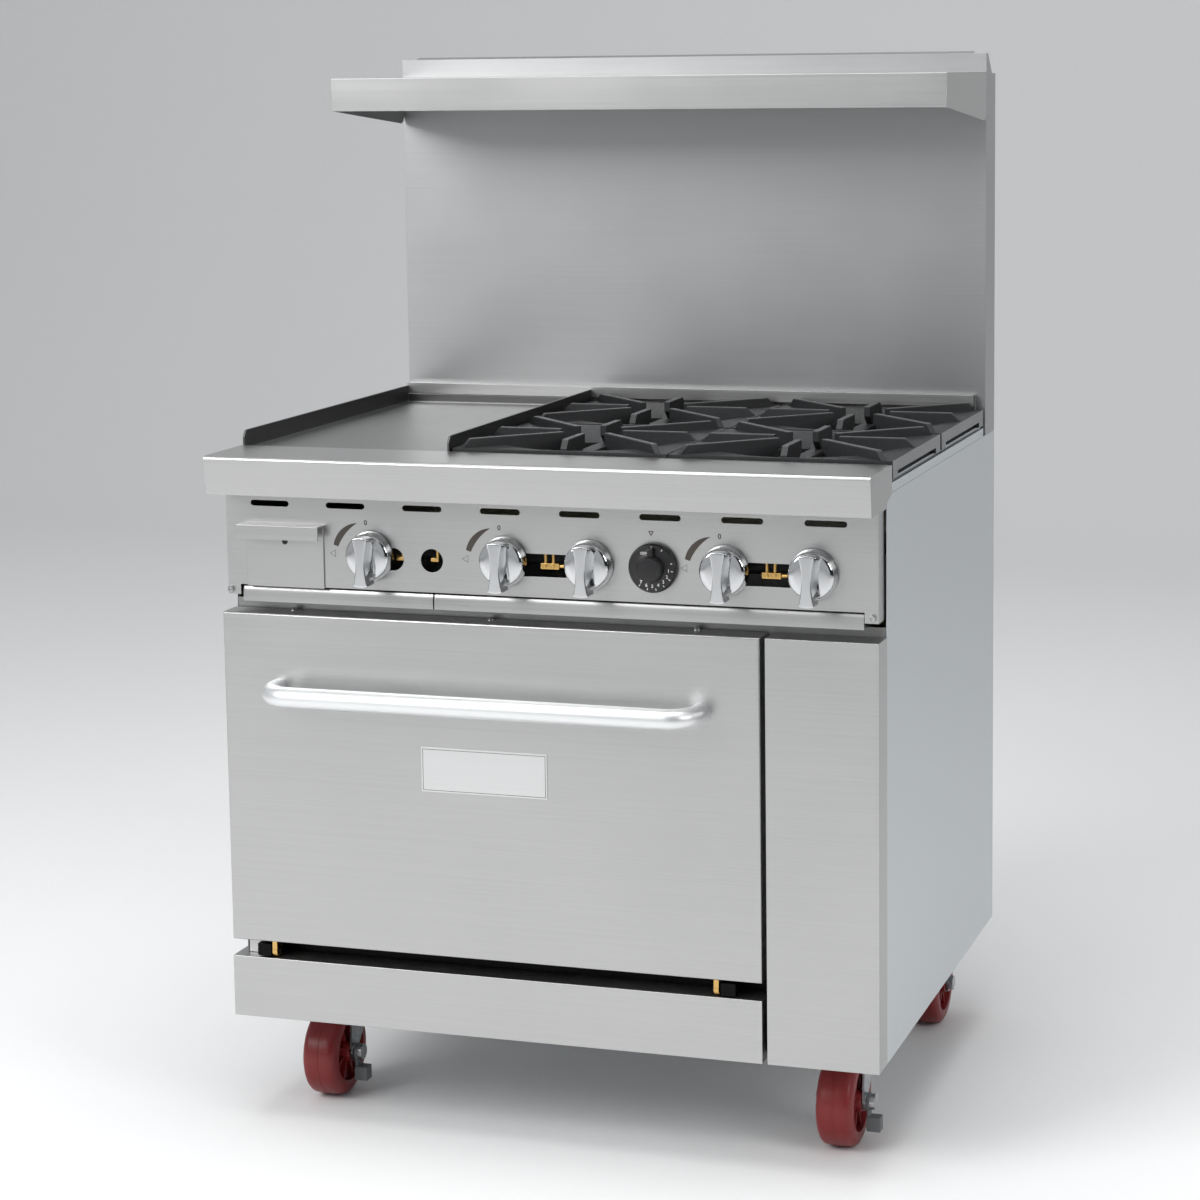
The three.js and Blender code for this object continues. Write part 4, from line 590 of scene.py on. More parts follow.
@dataclass
class Cabinet:
    """The body's sheet metal: sides, kick panel, service cover, face frame, ledge and chassis."""

    fold: float = 0.0012

    def build(self) -> None:
        """Shows every sheet of the body with folded, eased edges."""
        for node in ("side_panel_left", "side_panel_right"):
            Bench.finish_node(node, 0.0005)
        for node in ("kick_panel", "service_cover"):
            Bench.finish_node(node, self.fold, 3)
        Bench.finish_node("landing_ledge", 0.0004)
        Bench.finish_node("rear_panel", 0.0003)
        Bench.finish_node("base_frame", 0.0006)
        # Its finish paints the shadow in the gap below the door.
        Bench.finish_node("front_frame", 0.0003, finish=FRAME_STEEL_PAINTED_SHADOW)
        self.screws()

    def screws(self) -> None:
        """Sets nine screws in the rear sheet."""
        low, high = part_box("rear_panel")
        rear = []
        for x in (low.x + 0.03, (low.x + high.x) / 2, high.x - 0.03):
            for z in (low.z + 0.03, (low.z + high.z) / 2, high.z - 0.03):
                place = (x, high.y - 0.0012, z)
                rear.append(Bench.screw(f"rear_screw_{len(rear)}", place, (0, 1, 0), height=0.001))
        Bench.dress(Bench.join("rear_screws", rear), SCREW_STEEL, "range_body", "zinc")


@dataclass
class Backguard:
    """The upright sheet behind the cooktop, its back, the flue riser and the overhead shelf."""

    fold: float = 0.001

    def build(self) -> None:
        """Shows the backguard and the shelf with folded, eased edges."""
        Bench.finish_node("backguard_panel", 0.0006, finish=GUARD_STEEL)
        Bench.finish_node("backguard_back", 0.0004)
        Bench.finish_node("overhead_shelf", 0.0006, finish=STAINLESS)
        Bench.finish_node("flue_riser", 0.0005)


@dataclass
class OvenDoor:
    """The door: front pan, inner face, bent-tube handle, blank nameplate, hinge arms and screws."""

    body: str = "oven_door"
    corner: float = 0.0028
    tube_radius: float = 0.014
    bend: float = 0.038
    plate_low: tuple[float, float] = (-0.1708, 0.487)
    plate_high: tuple[float, float] = (0.0079, 0.5476)

    def build(self) -> None:
        """Builds every piece of the door."""
        self.pan()
        Bench.finish_node("door_liner", 0.0015, 3)
        self.handle()
        self.nameplate()
        for side in ("left", "right"):
            Bench.finish_node(f"hinge_arm_{side}", 0.0004)
        self.screws()

    def pan(self) -> None:
        """Models the door's front: a block hollowed from behind, with its front folds rounded."""
        low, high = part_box("door_panel")
        pan = Bench.block("door_pan", low, high)
        Bench.shape(pan, Pick.FACE, lambda f: f.normal.y > 0.9)
        bpy.ops.mesh.inset(thickness=0.002)
        bpy.ops.mesh.extrude_region_move(TRANSFORM_OT_translate={"value": (0, -(high.y - low.y) + 0.002, 0)})
        Bench.finish()
        front = low.y + 1e-5
        Bench.shape(pan, Pick.EDGE, lambda e: all(v.co.y < front for v in e.verts))
        bpy.ops.mesh.bevel(offset=self.corner, segments=4, affect="EDGES")
        Bench.finish()
        Bench.ease(pan, 0.0003, 1, 60)
        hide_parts("door_panel")
        Bench.dress(pan, STAINLESS, self.body, "stainless")

    def handle(self) -> None:
        """Runs one tube out from the door, across it and back in."""
        low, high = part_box("door_handle")
        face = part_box("door_panel")[0].y
        z = (low.z + high.z) / 2
        left, right = low.x + self.tube_radius, high.x - self.tube_radius
        out = low.y + self.tube_radius
        points = [(left, face + 0.001, z), (left, out + self.bend, z)]
        points += self.arc(left + self.bend, out + self.bend, math.pi, 1.5 * math.pi, z)
        points += self.arc(right - self.bend, out + self.bend, 1.5 * math.pi, 2 * math.pi, z)
        points += [(right, out + self.bend, z), (right, face + 0.001, z)]
        bar = Bench.tube("door_handle_bar", points, self.tube_radius, 10)
        Bench.hold(bar)
        bpy.ops.object.shade_smooth_by_angle(angle=math.radians(40))
        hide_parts("door_handle")
        Bench.dress(bar, TUBE, self.body, "polished_tube")

    def arc(self, x: float, y: float, start: float, end: float, z: float) -> list[tuple[float, float, float]]:
        """Points round a bend of the handle.

        Args:
            x: The bend's centre across the door.
            y: The bend's centre in depth.
            start: The first angle.
            end: The last angle.
            z: The handle's height.

        Returns:
            The points in order.
        """
        turns = [start + (end - start) * i / 14 for i in range(1, 14)]
        return [(x + self.bend * math.cos(t), y + self.bend * math.sin(t), z) for t in turns]

    def nameplate(self) -> None:
        """Models a blank plate: a thin bright block with a dark line set in round its field."""
        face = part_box("door_panel")[0].y
        (x0, z0), (x1, z1) = self.plate_low, self.plate_high
        plate = Bench.block("nameplate", (x0, face - 0.0012, z0), (x1, face + 0.0003, z1))
        Bench.ease(plate, 0.0003, 2)
        Bench.dress(plate, PLATE_FACE, self.body, "stainless")
        gap, line = 0.0022, 0.0006
        border = Bench.block("nameplate_line", (x0 + gap, face - 0.0013, z0 + gap),
                             (x1 - gap, face - 0.0011, z1 - gap))
        Bench.shape(border, Pick.FACE, lambda f: abs(f.normal.y) > 0.9)
        bpy.ops.mesh.inset(thickness=line, use_individual=True)
        Bench.finish()
        Bench.shape(border, Pick.FACE, lambda f: abs(f.normal.y) > 0.9 and all(
            x0 + gap + line / 2 < v.co.x < x1 - gap - line / 2 for v in f.verts))
        bpy.ops.mesh.bridge_edge_loops()
        Bench.finish()
        Bench.dress(border, PLATE_INK, self.body, "stainless")

    def screws(self) -> None:
        """Sets three screws along the door's top fold."""
        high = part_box("door_panel")[1]
        heads = []
        for x in (-0.3667, -0.081, 0.2058):
            heads.append(Bench.screw(f"door_screw_{len(heads)}", (x, high.y - 0.006, high.z), (0, 0, 1)))
        Bench.dress(Bench.join("door_top_screws", heads), SCREW_STEEL, self.body, "zinc")


@dataclass
class Knob:
    """A chromed valve knob: a domed skirt with a waisted grip bar across it."""

    radius: float = 0.033
    face_radius: float = 0.030
    skirt: float = 0.017
    grip: float = 0.021
    end_width: float = 0.0212
    waist: float = 0.0122
    flare: float = 0.0085
    drop: float = 0.038

    def build(self) -> None:
        """Models one knob and copies it to the other valves."""
        first = self.model(KNOBS[0])
        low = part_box(f"knob_{KNOBS[0]}")[0]
        for name in KNOBS[1:]:
            twin = Bench.copy_to(first, f"knob_{name}_chrome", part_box(f"knob_{name}")[0] - low)
            self.dress(twin, name)
        self.dress(first, KNOBS[0])

    @staticmethod
    def dress(piece: bpy.types.Object, name: str) -> None:
        """Puts a finished knob in the place of its frame node."""
        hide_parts(f"knob_{name}")
        Bench.dress(piece, CHROME, f"knob_{name}", "chrome")

    def model(self, name: str) -> bpy.types.Object:
        """Models the knob in the place of one frame node.

        Args:
            name: Which valve it is for.

        Returns:
            The knob.
        """
        low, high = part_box(f"knob_{name}")
        x, back, z = (low.x + high.x) / 2, high.y, low.z + self.drop
        r, f, s = self.radius, self.face_radius, self.skirt
        outline = [(0.006, 0.0), (r - 0.0012, 0.0), (r, 0.0012), (r, 0.0042), (r - 0.001, 0.0062),
                   (f + 0.0012, s - 0.0046), (f + 0.0002, s - 0.0024), (f - 0.0016, s - 0.0009),
                   (f - 0.0042, s), (f - 0.010, s + 0.0004), (0.0, s + 0.0008), (0.0, s - 0.004),
                   (0.006, s - 0.004)]
        disc = Bench.lathe(f"knob_{name}_chrome", outline, (x, back, z), (0, -1, 0), 72)
        bar = self.bar(x, back - s, z)
        knob = Bench.join(f"knob_{name}_chrome", [disc, bar])
        Bench.hold(knob)
        bpy.ops.object.shade_smooth_by_angle(angle=math.radians(38))
        return knob

    def bar(self, x: float, face: float, z: float) -> bpy.types.Object:
        """Models the grip: a finely cut block drawn in to a waist, flared at its root and rounded.

        Args:
            x: The knob's centre across the panel.
            face: The depth of the skirt's face.
            z: The knob's height.

        Returns:
            The grip bar.
        """
        top, bottom = z + self.face_radius - 0.0006, z - self.drop + 0.0002
        half = self.end_width / 2
        bar = Bench.block("knob_grip", (x - half, face - self.grip, bottom), (x + half, face + 0.004, top))
        for axis, cuts in ((2, 23), (1, 9), (0, 5)):
            Bench.shape(bar, Pick.EDGE, lambda e, a=axis: abs(e.verts[0].co[a] - e.verts[1].co[a]) > 0.0005
                        and all(abs(e.verts[0].co[b] - e.verts[1].co[b]) < 1e-6 for b in range(3) if b != a))
            bpy.ops.mesh.subdivide(number_cuts=cuts)
            Bench.finish()
        middle, reach = (top + bottom) / 2, (top - bottom) / 2
        for vertex in bar.data.vertices:
            side, depth = (vertex.co.x - x) / half, (vertex.co.y - face + self.grip) / (self.grip + 0.004)
            share = (vertex.co.z - middle) / reach
            front = (self.waist + (self.end_width - self.waist) * abs(share) ** 1.7) / 2
            height = min(abs(vertex.co.z - z), self.face_radius - 0.0005)
            rim = max(front, math.sqrt(self.face_radius ** 2 - height ** 2) - 0.0012)
            spread = min(front + self.flare * depth ** 2.6, rim)
            vertex.co.x = x + side * spread
            vertex.co.z -= math.copysign(0.0021 * side * side * abs(share) ** 4, share)
        Bench.ease(bar, 0.0011, 3, 42)
        return bar


@dataclass
class Dial:
    """The oven thermostat's dial with its hub, pointer ridge, ticks and numbers."""

    node: str = "thermostat_dial"
    numbers: tuple[str, ...] = ("1", "2", "3", "4", "5", "6", "7")

    def build(self) -> None:
        """Builds the dial and its printed marks."""
        low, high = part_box(self.node)
        x, z = (low.x + high.x) / 2, (low.z + high.z) / 2
        r, back, depth = (high.x - low.x) / 2, high.y, high.y - low.y
        flange = 0.009
        outline = [(0.006, 0.0), (r - 0.001, 0.0), (r, 0.001), (r, 0.0055), (r - 0.0022, flange - 0.0004),
                   (r - 0.004, flange), (0.0195, flange), (0.018, flange + 0.001), (0.0165, depth - 0.002),
                   (0.0152, depth - 0.0004), (0.013, depth), (0.0, depth), (0.0, 0.006), (0.006, 0.006)]
        disc = Bench.lathe("thermostat_dial_black", outline, (x, back, z), (0, -1, 0), 72)
        ridge = Bench.block("dial_ridge", (x - 0.0042, back - flange - 0.008, z + 0.004),
                            (x + 0.0042, back - flange + 0.001, z + r - 0.005))
        Bench.shape(ridge, Pick.EDGE, lambda e: all(v.co.y < back - flange - 0.007 for v in e.verts))
        bpy.ops.mesh.bevel(offset=0.0022, segments=3, affect="EDGES")
        Bench.finish()
        dial = Bench.join("thermostat_dial_black", [disc, ridge])
        Bench.hold(dial)
        bpy.ops.object.shade_smooth_by_angle(angle=math.radians(35))
        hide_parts(self.node)
        Bench.dress(dial, BLACK_PLASTIC, self.node, "black_plastic")
        self.print_marks(x, back - flange, z)

    def print_marks(self, x: float, face: float, z: float) -> None:
        """Prints the ticks and the numbers on the dial's flange.

        Args:
            x: The dial's centre across the panel.
            face: The depth of the flange's face.
            z: The dial's height.
        """
        marks = []
        for hour in (0.0, 1.0, 2.5, 3.2, 4.0, 4.8, 5.6, 6.4, 7.2):
            turn = -hour * math.pi / 6
            tick = Bench.block("tick", (-0.0005, -0.0001, 0.0265), (0.0005, 0.0002, 0.0292))
            Bench.shape(tick, Pick.EDGE, lambda e: True)
            bpy.ops.mesh.bevel(offset=0.00008, segments=1, affect="EDGES")
            Bench.finish()
            tick.data.transform(Matrix.Translation((x, face, z)) @ Matrix.Rotation(-turn, 4, "Y"))
            marks.append(tick)
        for i, label in enumerate(self.numbers):
            hour = 3.2 + 0.68 * i
            angle = -hour * math.pi / 6 + math.pi / 2
            place = (x + 0.0232 * math.cos(angle), face, z + 0.0232 * math.sin(angle))
            marks.append(Lettering.stamp(label, place, 0.0044))
        marks.append(Lettering.stamp("OFF", (x - 0.0105, face, z + 0.0195), 0.0036))
        Bench.dress(Bench.join("dial_marks", marks), WHITE_INK, self.node, "black_plastic")


class Lettering:
    """Plain numerals standing a hair proud of a front face."""

    @staticmethod
    def stamp(text: str, place: Sequence[float], size: float) -> bpy.types.Object:
        """Makes a numeral as a thin solid that faces the front.

        Args:
            text: What to write.
            place: The numeral's centre, on the face.
            size: Its height.

        Returns:
            The numeral as a mesh.
        """
        Bench.clear()
        bpy.ops.object.text_add(location=(0, 0, 0))
        word = bpy.context.object
        word.data.body = text
        word.data.size = size * 1.4
        word.data.align_x = "CENTER"
        word.data.align_y = "CENTER"
        word.data.extrude = 0.0001
        word.data.offset = size * 0.03
        word.data.resolution_u = 3
        bpy.ops.object.convert(target="MESH")
        word = bpy.context.object
        word.data.transform(Matrix.Translation(Vector(place)) @ Matrix.Rotation(math.pi / 2, 4, "X"))
        return word


@dataclass
class ControlPanel:
    """The sheet behind the knobs with its screws and printed marks, the knobs and the dial."""

    knob: Knob = field(default_factory=Knob)
    dial: Dial = field(default_factory=Dial)

    def build(self) -> None:
        """Builds the panel and all that is on it."""
        Bench.finish_node("control_panel", 0.0004)
        self.knob.build()
        self.dial.build()
        self.screws()
        self.marks()

    def screws(self) -> None:
        """Sets one screw in each lower ear."""
        low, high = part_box("control_panel")
        heads = [Bench.screw("ear_screw_left", (low.x + 0.0045, low.y, low.z + 0.0065), (0, -1, 0), 0.0042),
                 Bench.screw("ear_screw_right", (high.x - 0.0078, low.y, low.z + 0.0073), (0, -1, 0), 0.0042)]
        Bench.dress(Bench.join("ear_screws", heads), SCREW_STEEL, "range_body", "zinc")

    def marks(self) -> None:
        """Prints the off marks, the flame-setting arcs and the pointer above the dial."""
        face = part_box("control_panel")[0].y - 0.00005
        prints = []
        for name in ("griddle", "left_rear", "right_rear"):
            low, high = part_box(f"knob_{name}")
            x, z = (low.x + high.x) / 2, low.z + self.knob.drop
            prints.append(Lettering.stamp("0", (x - 0.0075, face, z + 0.0435), 0.0068))
            prints.append(self.crescent(x, face, z))
            prints.append(self.arrow((x - 0.0545, face, z + 0.0006), 0.0058, -math.pi / 2, 0.00045))
        low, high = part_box("thermostat_dial")
        above_dial = ((low.x + high.x) / 2 - 0.0035, face, high.z + 0.0125)
        prints.append(self.arrow(above_dial, 0.0044, math.pi, 0.0011))
        Bench.dress(Bench.join("panel_marks", prints), BROWN_INK, "range_body", "stainless")

    @staticmethod
    def printed(mark: bpy.types.Object) -> bpy.types.Object:
        """Gives a flat mark the thickness of a coat of ink."""
        Bench.shape(mark, Pick.FACE, lambda f: True)
        bpy.ops.mesh.normals_make_consistent(inside=False)
        Bench.finish()
        thick = mark.modifiers.new("thickness", "SOLIDIFY")
        thick.thickness = 0.0002
        thick.offset = 0.0
        bpy.ops.object.modifier_apply(modifier=thick.name)
        return mark

    @staticmethod
    def arrow(place: tuple[float, float, float], size: float, turn: float, line: float) -> bpy.types.Object:
        """Draws an outlined triangle.

        Args:
            place: Its centre, on the panel's face.
            size: The distance from its centre to its corners.
            turn: How far it is turned from pointing up.
            line: The width of its outline.

        Returns:
            The triangle as a thin solid.
        """
        Bench.clear()
        bpy.ops.mesh.primitive_circle_add(vertices=3, radius=size, fill_type="NGON")
        mark = bpy.context.object
        Bench.shape(mark, Pick.FACE, lambda f: True)
        bpy.ops.mesh.inset(thickness=line)
        Bench.finish()
        Bench.shape(mark, Pick.FACE, lambda f: all(v.co.length < size - line for v in f.verts))
        bpy.ops.mesh.delete(type="FACE")
        Bench.finish()
        mark.data.transform(Matrix.Translation(place) @ Matrix.Rotation(turn, 4, "Y")
                            @ Matrix.Rotation(math.pi / 2, 4, "X"))
        return ControlPanel.printed(mark)

    @staticmethod
    def crescent(x: float, face: float, z: float) -> bpy.types.Object:
        """Draws the area between two arcs to the left of a knob, from a point above to a broad end.

        Args:
            x: The knob's centre across the panel.
            face: The depth of the panel's face.
            z: The knob's height.

        Returns:
            The crescent as a thin solid.
        """
        outer, inner = (-0.0178, 0.0055, 0.0373, 92.6, 169.4), (0.0164, -0.0167, 0.0695, 121.1, 157.2)
        Bench.clear()
        bpy.ops.mesh.primitive_grid_add(x_subdivisions=24, y_subdivisions=1, size=2.0)
        mark = bpy.context.object
        mark.name = "setting_arc"
        for vertex in mark.data.vertices:
            share = (vertex.co.x + 1) / 2
            across, up, radius, start, end = outer if vertex.co.y > 0 else inner
            angle = math.radians(start + (end - start) * share)
            vertex.co = Vector((x + across + radius * math.cos(angle), face,
                                z + up + radius * math.sin(angle)))
        return ControlPanel.printed(mark)


@dataclass
class Drawers:
    """The grease drawer under the griddle and the two crumb trays."""

    def build(self) -> None:
        """Shows the drawer and the trays, and sets the drawer's screw."""
        Bench.finish_node("grease_drawer", 0.0006)
        for side in ("left", "right"):
            Bench.finish_node(f"crumb_tray_{side}", 0.0005)
        low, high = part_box("grease_drawer")
        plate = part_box("control_panel")[0].y - 0.0023
        head = Bench.screw("drawer_screw", (-0.3667, plate, high.z - 0.0235), (0, -1, 0), 0.003, 0.0016)
        Bench.dress(head, ENAMEL, "grease_drawer", "black_enamel")


@dataclass
class Cooktop:
    """Grates, open burners with their ports and pilots, the griddle and the frame below them."""

    port_count: int = 24
    port: float = 0.0022

    def build(self) -> None:
        """Builds the cooking surface."""
        Bench.finish_node("cooktop_frame", 0.0004)
        Bench.finish_node("griddle_plate", 0.0008, 3)
        Bench.finish_node("griddle_burner", 0.001)
        self.grates()
        for name in GRATES:
            Bench.finish_node(f"burner_{name}", 0.0012)
            self.ports(name)
            self.pilot(name)

    def grates(self) -> None:
        """Models one grate and copies it to the other three places."""
        first = Bench.eased_node(f"grate_{GRATES[0]}", 0.0016, 3, 28)
        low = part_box(f"grate_{GRATES[0]}")[0]
        for name in GRATES[1:]:
            twin = Bench.copy_to(first, f"grate_{name}_finished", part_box(f"grate_{name}")[0] - low)
            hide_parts(f"grate_{name}")
            Bench.dress(twin, GRATE_IRON, f"grate_{name}", "grate_iron")
        Bench.dress(first, GRATE_IRON, f"grate_{GRATES[0]}", "grate_iron")

    def ports(self, name: str) -> None:
        """Rings a burner's cap with raised port ribs.

        Args:
            name: Which burner.
        """
        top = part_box(f"burner_{name}")[1].z
        grate_low, grate_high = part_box(f"grate_{name}")
        x, y = (grate_low.x + grate_high.x) / 2, (grate_low.y + grate_high.y) / 2
        ribs = []
        for i in range(self.port_count):
            turn = 2 * math.pi * i / self.port_count
            rib = Bench.block("rib", (0.034, -self.port / 2, -0.0052), (0.0462, self.port / 2, 0.0004))
            Bench.shape(rib, Pick.EDGE, lambda e: all(v.co.z > 0 for v in e.verts))
            bpy.ops.mesh.bevel(offset=0.0006, segments=2, affect="EDGES")
            Bench.finish()
            tilt = Matrix.Rotation(0.5, 4, "Y")
            rib.data.transform(Matrix.Translation((x, y, top)) @ Matrix.Rotation(turn, 4, "Z") @
                               Matrix.Translation((0.0, 0, 0.0145)) @ tilt)
            ribs.append(rib)
        Bench.dress(Bench.join(f"burner_ribs_{name}", ribs), BURNER_IRON, "range_body", "cast_iron")

    def pilot(self, name: str) -> None:
        """Runs a pilot tube up beside a burner.

        Args:
            name: Which burner.
        """
        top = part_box(f"burner_{name}")[1].z
        grate_low, grate_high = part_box(f"grate_{name}")
        x, y = (grate_low.x + grate_high.x) / 2 - 0.056, (grate_low.y + grate_high.y) / 2 - 0.012
        points = [(x, y - 0.10, top - 0.05), (x, y - 0.02, top - 0.05), (x, y - 0.005, top - 0.046),
                  (x, y, top - 0.034), (x, y, top - 0.004)]
        Bench.dress(self.cap_tube(f"pilot_{name}", points), ZINC, "range_body", "zinc")

    @staticmethod
    def cap_tube(name: str, points: list[tuple[float, float, float]]) -> bpy.types.Object:
        """Makes a thin tube with a wider nozzle at its end.

        Args:
            name: The piece's name.
            points: The tube's line.

        Returns:
            The tube with its nozzle.
        """
        pipe = Bench.tube(name, points, 0.0024, 4)
        tip = Vector(points[-1])
        nozzle = Bench.drum("nozzle", tip - Vector((0, 0, 0.008)), tip, 0.0042, 16)
        Bench.shape(nozzle, Pick.FACE, lambda f: f.normal.z > 0.9)
        bpy.ops.mesh.inset(thickness=0.0018)
        bpy.ops.mesh.extrude_region_move(TRANSFORM_OT_translate={"value": (0, 0, -0.002)})
        Bench.finish()
        made = Bench.join(name, [pipe, nozzle])
        Bench.hold(made)
        bpy.ops.object.shade_smooth_by_angle(angle=math.radians(40))
        return made


@dataclass
class Casters:
    """Four swivel casters: forks, red wheels with ribbed hubs, and brake levers on the front pair."""

    rib_count: int = 8

    def build(self) -> None:
        """Builds each caster."""
        for name in CASTERS:
            Bench.finish_node(f"caster_fork_{name}", 0.0007)
            self.wheel(name)
            if name.startswith("front"):
                self.brake(name)

    def wheel(self, name: str) -> None:
        """Spins the tread with its mould line and dished hub, then adds the ribs.

        Args:
            name: Which caster.
        """
        low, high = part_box(f"caster_wheel_{name}")
        centre = (low + high) / 2
        r, hub = (high.z - low.z) / 2, (high.x - low.x) / 2
        h = hub - 0.0015
        rim = r - 0.0006
        half = [(0.0075, hub), (0.0135, hub), (0.015, hub - 0.001), (0.0165, h - 0.011), (0.018, h - 0.012),
                (0.038, h - 0.012), (0.041, h - 0.0105), (0.0425, h - 0.001), (0.0435, h - 0.0002),
                (0.0515, h), (0.054, h - 0.0008), (0.0585, h - 0.0032), (0.0612, h - 0.0064),
                (rim - 0.0004, h - 0.011), (rim, h - 0.015), (rim, 0.0012)]
        ridge = [(r, 0.0006), (r, -0.0006)]
        outline = half + ridge + [(a, -b) for a, b in reversed(half)]
        tread = Bench.lathe(f"wheel_{name}_red", outline, centre, (1, 0, 0), 80)
        ribs = [self.rib(centre, h, i, side) for i in range(self.rib_count) for side in (-1, 1)]
        wheel = Bench.join(f"wheel_{name}_red", [tread, *ribs])
        Bench.hold(wheel)
        bpy.ops.object.shade_smooth_by_angle(angle=math.radians(30))
        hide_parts(f"caster_wheel_{name}")
        Bench.dress(wheel, RED_TREAD, f"wheel_{name}", "red_tread")

    def rib(self, centre: Vector, face: float, index: int, side: int) -> bpy.types.Object:
        """Models one stiffening rib in the wheel's dish.

        Args:
            centre: The wheel's centre.
            face: Half of the wheel's width.
            index: Which rib.
            side: 1 for the +X side of the wheel, -1 for the other.

        Returns:
            The rib.
        """
        inner, outer = sorted((side * (face - 0.0135), side * (face - 0.005)))
        rib = Bench.block("wheel_rib", (inner, -0.0016, 0.015), (outer, 0.0016, 0.042))
        Bench.shape(rib, Pick.EDGE, lambda e: all(v.co.x * side > face - 0.006 for v in e.verts))
        bpy.ops.mesh.bevel(offset=0.0009, segments=2, affect="EDGES")
        Bench.finish()
        turn = 2 * math.pi * (index + 0.5) / self.rib_count
        rib.data.transform(Matrix.Translation(centre) @ Matrix.Rotation(turn, 4, "X"))
        return rib

    def brake(self, name: str) -> None:
        """Shows the brake lever with rounded edges.

        Args:
            name: Which caster.
        """
        Bench.finish_node(f"caster_brake_{name}", 0.0012, 3)


@dataclass
class Fittings:
    """Small brass and steel parts that show through the panel's openings and below the door."""

    bar: tuple[float, float, float] = (0.026, 0.008, 0.009)
    setback: float = 0.0065
    bar_from_valve: float = 0.071
    bar_rise: float = 0.032

    def build(self) -> None:
        """Builds the pilot valves, the pipe stubs and the door's lower post."""
        for name in ("left_front", "right_front"):
            self.pilot_valve(name)
        self.stubs()
        self.post()

    def pilot_valve(self, name: str) -> None:
        """Models a pilot valve: a bar with two screws and two tubes that rise from it.

        Args:
            name: The valve that it stands beside.
        """
        low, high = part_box(f"valve_{name}")
        x = (low.x + high.x) / 2 - self.bar_from_valve
        y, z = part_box("control_panel")[0].y + self.setback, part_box(f"knob_{name}")[0].z + self.bar_rise
        wide, tall, deep = self.bar
        body = Bench.block("pilot_bar", (x, y, z - tall / 2), (x + wide, y + deep, z + tall / 2))
        Bench.ease(body, 0.0008, 2)
        parts = [body]
        for place in (x + 0.006, x + 0.017):
            parts.append(Bench.screw("adjuster", (place, y, z), (0, -1, 0), 0.0024, 0.0016))
            tube = Bench.drum("riser", (place, y + deep / 2, z), (place, y + deep / 2, z + 0.03), 0.0026, 16)
            Bench.ease(tube, 0.0003, 1)
            parts.append(tube)
        middle = y + deep / 2
        reach = Bench.drum("tail", (x + wide - 0.001, middle, z), (low.x + 0.0035, middle, z), 0.003, 16)
        Bench.ease(reach, 0.0003, 1)
        parts.append(reach)
        Bench.dress(Bench.join(f"pilot_valve_{name}", parts), BRASS, "range_body", "brass")

    def stubs(self) -> None:
        """Models the brass tails seen in the griddle slot and the lighting hole."""
        low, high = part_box("valve_griddle")
        x, z = (low.x + high.x) / 2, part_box("knob_griddle")[0].z + 0.038
        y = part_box("control_panel")[0].y + self.setback + 0.003
        parts = []
        for start, end in ((0.033, 0.044), (0.083, 0.094)):
            drum = Bench.drum("stub", (x + start, y, z - 0.004), (x + end, y, z - 0.004), 0.0042, 6)
            Bench.ease(drum, 0.0004, 2)
            up = x + end - 0.002
            riser = Bench.drum("stub_riser", (up, y, z - 0.006), (up, y, z + 0.016), 0.0028, 16)
            Bench.ease(riser, 0.0003, 1)
            parts += [drum, riser]
        Bench.dress(Bench.join("pilot_tails", parts), BRASS, "range_body", "brass")

    def post(self) -> None:
        """Models the folded post that shows at the left end of the gap below the door."""
        base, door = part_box("kick_panel")[1].z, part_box("door_panel")[0]
        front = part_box("kick_panel")[0].y + 0.02
        post = Bench.block("lower_post", (door.x + 0.0155, front, base + 0.0004),
                           (door.x + 0.0385, front + 0.022, door.z - 0.0009))
        Bench.shape(post, Pick.FACE, lambda f: f.normal.z > 0.9)
        bpy.ops.mesh.inset(thickness=0.0012)
        bpy.ops.mesh.extrude_region_move(TRANSFORM_OT_translate={"value": (0, 0, -0.018)})
        Bench.finish()
        Bench.ease(post, 0.0004, 2)
        Bench.dress(post, STAINLESS, "range_body", "stainless")


@dataclass
class Inside:
    """The oven and the gas train behind the panels."""

    def build(self) -> None:
        """Finishes the pieces that show only through openings or with the door down."""
        for node in ("oven_liner", "oven_deck", "gas_manifold", "thermostat_body", "oven_burner"):
            Bench.finish_node(node, 0.0006)
        for node in ("oven_insulation",):
            Bench.finish_node(node, 0.002)
        Bench.finish_node("oven_rack", 0.0004, 1, angle=70)
        for name in KNOBS:
            Bench.finish_node(f"valve_{name}", 0.0006)


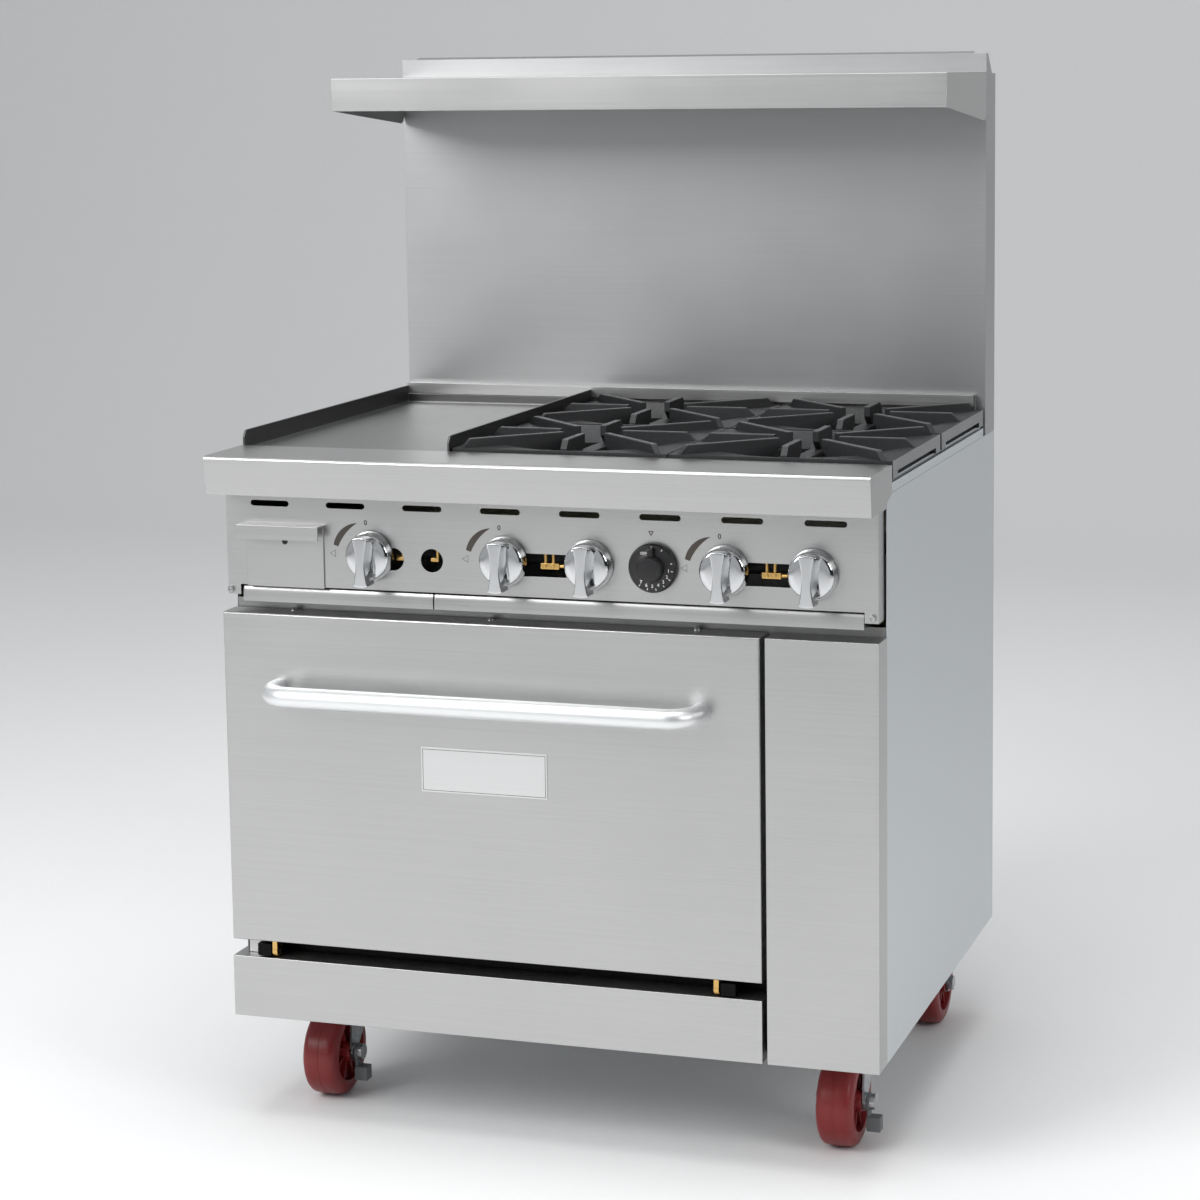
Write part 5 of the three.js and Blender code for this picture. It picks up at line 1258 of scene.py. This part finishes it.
@dataclass
class Studio:
    """The floor, the lights and the camera."""

    place: tuple[float, float, float] = (1.3033, -3.8871, 1.4419)
    azimuth: float = 17.555
    elevation: float = 7.531
    roll: float = -0.622
    lens: float = 87.8
    shift: tuple[float, float] = (-0.0574, -0.12)

    def build(self) -> None:
        """Sets up the scene around the range."""
        self.floor()
        self.lights()
        self.camera()

    def floor(self) -> None:
        """Lays a wide floor that curves up behind the range."""
        Bench.clear()
        bpy.ops.mesh.primitive_plane_add(size=14.0, location=(0, 0, 0))
        floor = bpy.context.object
        floor.name = "studio_floor"
        Bench.shape(floor, Pick.EDGE, lambda e: all(v.co.y > 6 for v in e.verts))
        bpy.ops.mesh.extrude_region_move(TRANSFORM_OT_translate={"value": (0, 0.0, 6.0)})
        Bench.finish()
        Bench.shape(floor, Pick.EDGE, lambda e: all(v.co.y > 6 and v.co.z < 0.1 for v in e.verts))
        bpy.ops.mesh.bevel(offset=2.5, segments=16, affect="EDGES")
        Bench.finish()
        floor.data.materials.append(FLOOR.material())
        Bench.hold(floor)
        bpy.ops.object.shade_smooth()

    def lights(self) -> None:
        """Hangs the soft boxes and sets the surrounding light."""
        bpy.context.scene.world = self.surroundings()
        self.soft_box("key", (-2.6, -3.6, 3.4), (0, 0, 0.7), 2.6, 150)
        self.soft_box("fill", (3.8, -2.0, 2.4), (0.2, 0, 0.7), 1.6, 45)
        self.soft_box("top", (0.2, -0.6, 4.2), (0, 0, 0.9), 2.6, 90)

    @staticmethod
    def surroundings() -> bpy.types.World:
        """Makes a pale room with a dark wall to the front right, which bright metal mirrors.

        Returns:
            The world.
        """
        world = bpy.data.worlds.new("studio")
        world.use_nodes = True
        nodes, links = world.node_tree.nodes, world.node_tree.links
        place = nodes.new("ShaderNodeTexCoord")
        toward = nodes.new("ShaderNodeVectorMath")
        toward.operation = "DOT_PRODUCT"
        toward.inputs[1].default_value = Vector((0.80, -0.56, 0.18)).normalized()
        links.new(place.outputs["Generated"], toward.inputs[0])
        ramp = nodes.new("ShaderNodeMapRange")
        ramp.inputs["From Min"].default_value = 0.70
        ramp.inputs["From Max"].default_value = 0.86
        links.new(toward.outputs["Value"], ramp.inputs["Value"])
        mix = nodes.new("ShaderNodeMix")
        mix.data_type = "RGBA"
        mix.inputs[6].default_value = (0.96, 0.98, 1.0, 1.0)
        mix.inputs[7].default_value = (0.03, 0.035, 0.04, 1.0)
        links.new(ramp.outputs["Result"], mix.inputs["Factor"])
        links.new(mix.outputs[2], nodes["Background"].inputs["Color"])
        nodes["Background"].inputs["Strength"].default_value = 0.5
        return world

    @staticmethod
    def soft_box(name: str, place: Sequence[float], aim: Sequence[float], size: float, power: float) -> None:
        """Hangs a square lamp that points at a place.

        Args:
            name: The lamp's name.
            place: Where it hangs.
            aim: What it points at.
            size: The length of its side.
            power: Its power in watts.
        """
        lamp = bpy.data.lights.new(name, "AREA")
        lamp.size = size
        lamp.energy = power
        holder = bpy.data.objects.new(name, lamp)
        bpy.context.scene.collection.objects.link(holder)
        holder.location = place
        holder.rotation_euler = (Vector(place) - Vector(aim)).to_track_quat("Z", "Y").to_euler()

    def camera(self) -> None:
        """Places the camera a little above the ledge, to the right of the range."""
        data = bpy.data.cameras.new("camera")
        data.sensor_width = 36.0
        data.lens = self.lens
        data.shift_x, data.shift_y = self.shift
        holder = bpy.data.objects.new("camera", data)
        bpy.context.scene.collection.objects.link(holder)
        az, el, roll = (math.radians(v) for v in (self.azimuth, self.elevation, self.roll))
        back = Vector((math.sin(az) * math.cos(el), -math.cos(az) * math.cos(el), math.sin(el)))
        right = Vector((math.cos(az), math.sin(az), 0.0))
        up = back.cross(right)
        across = math.cos(roll) * right + math.sin(roll) * up
        above = -math.sin(roll) * right + math.cos(roll) * up
        turn = Matrix((across, above, back)).transposed()
        holder.matrix_world = Matrix.Translation(self.place) @ turn.to_4x4()
        bpy.context.scene.camera = holder
        bpy.context.scene.view_settings.view_transform = "Standard"


def main() -> None:
    """Builds the range sub-assembly by sub-assembly, then the studio."""
    logging.basicConfig(level=logging.INFO, format="%(message)s")
    random.seed(7)
    for assembly in (Cabinet(), Backguard(), OvenDoor(), ControlPanel(), Fittings(), Drawers(), Cooktop(),
                     Casters(), Inside(), Studio()):
        assembly.build()
        LOG.info("built %s", type(assembly).__name__)


if __name__ == "__main__":
    main()
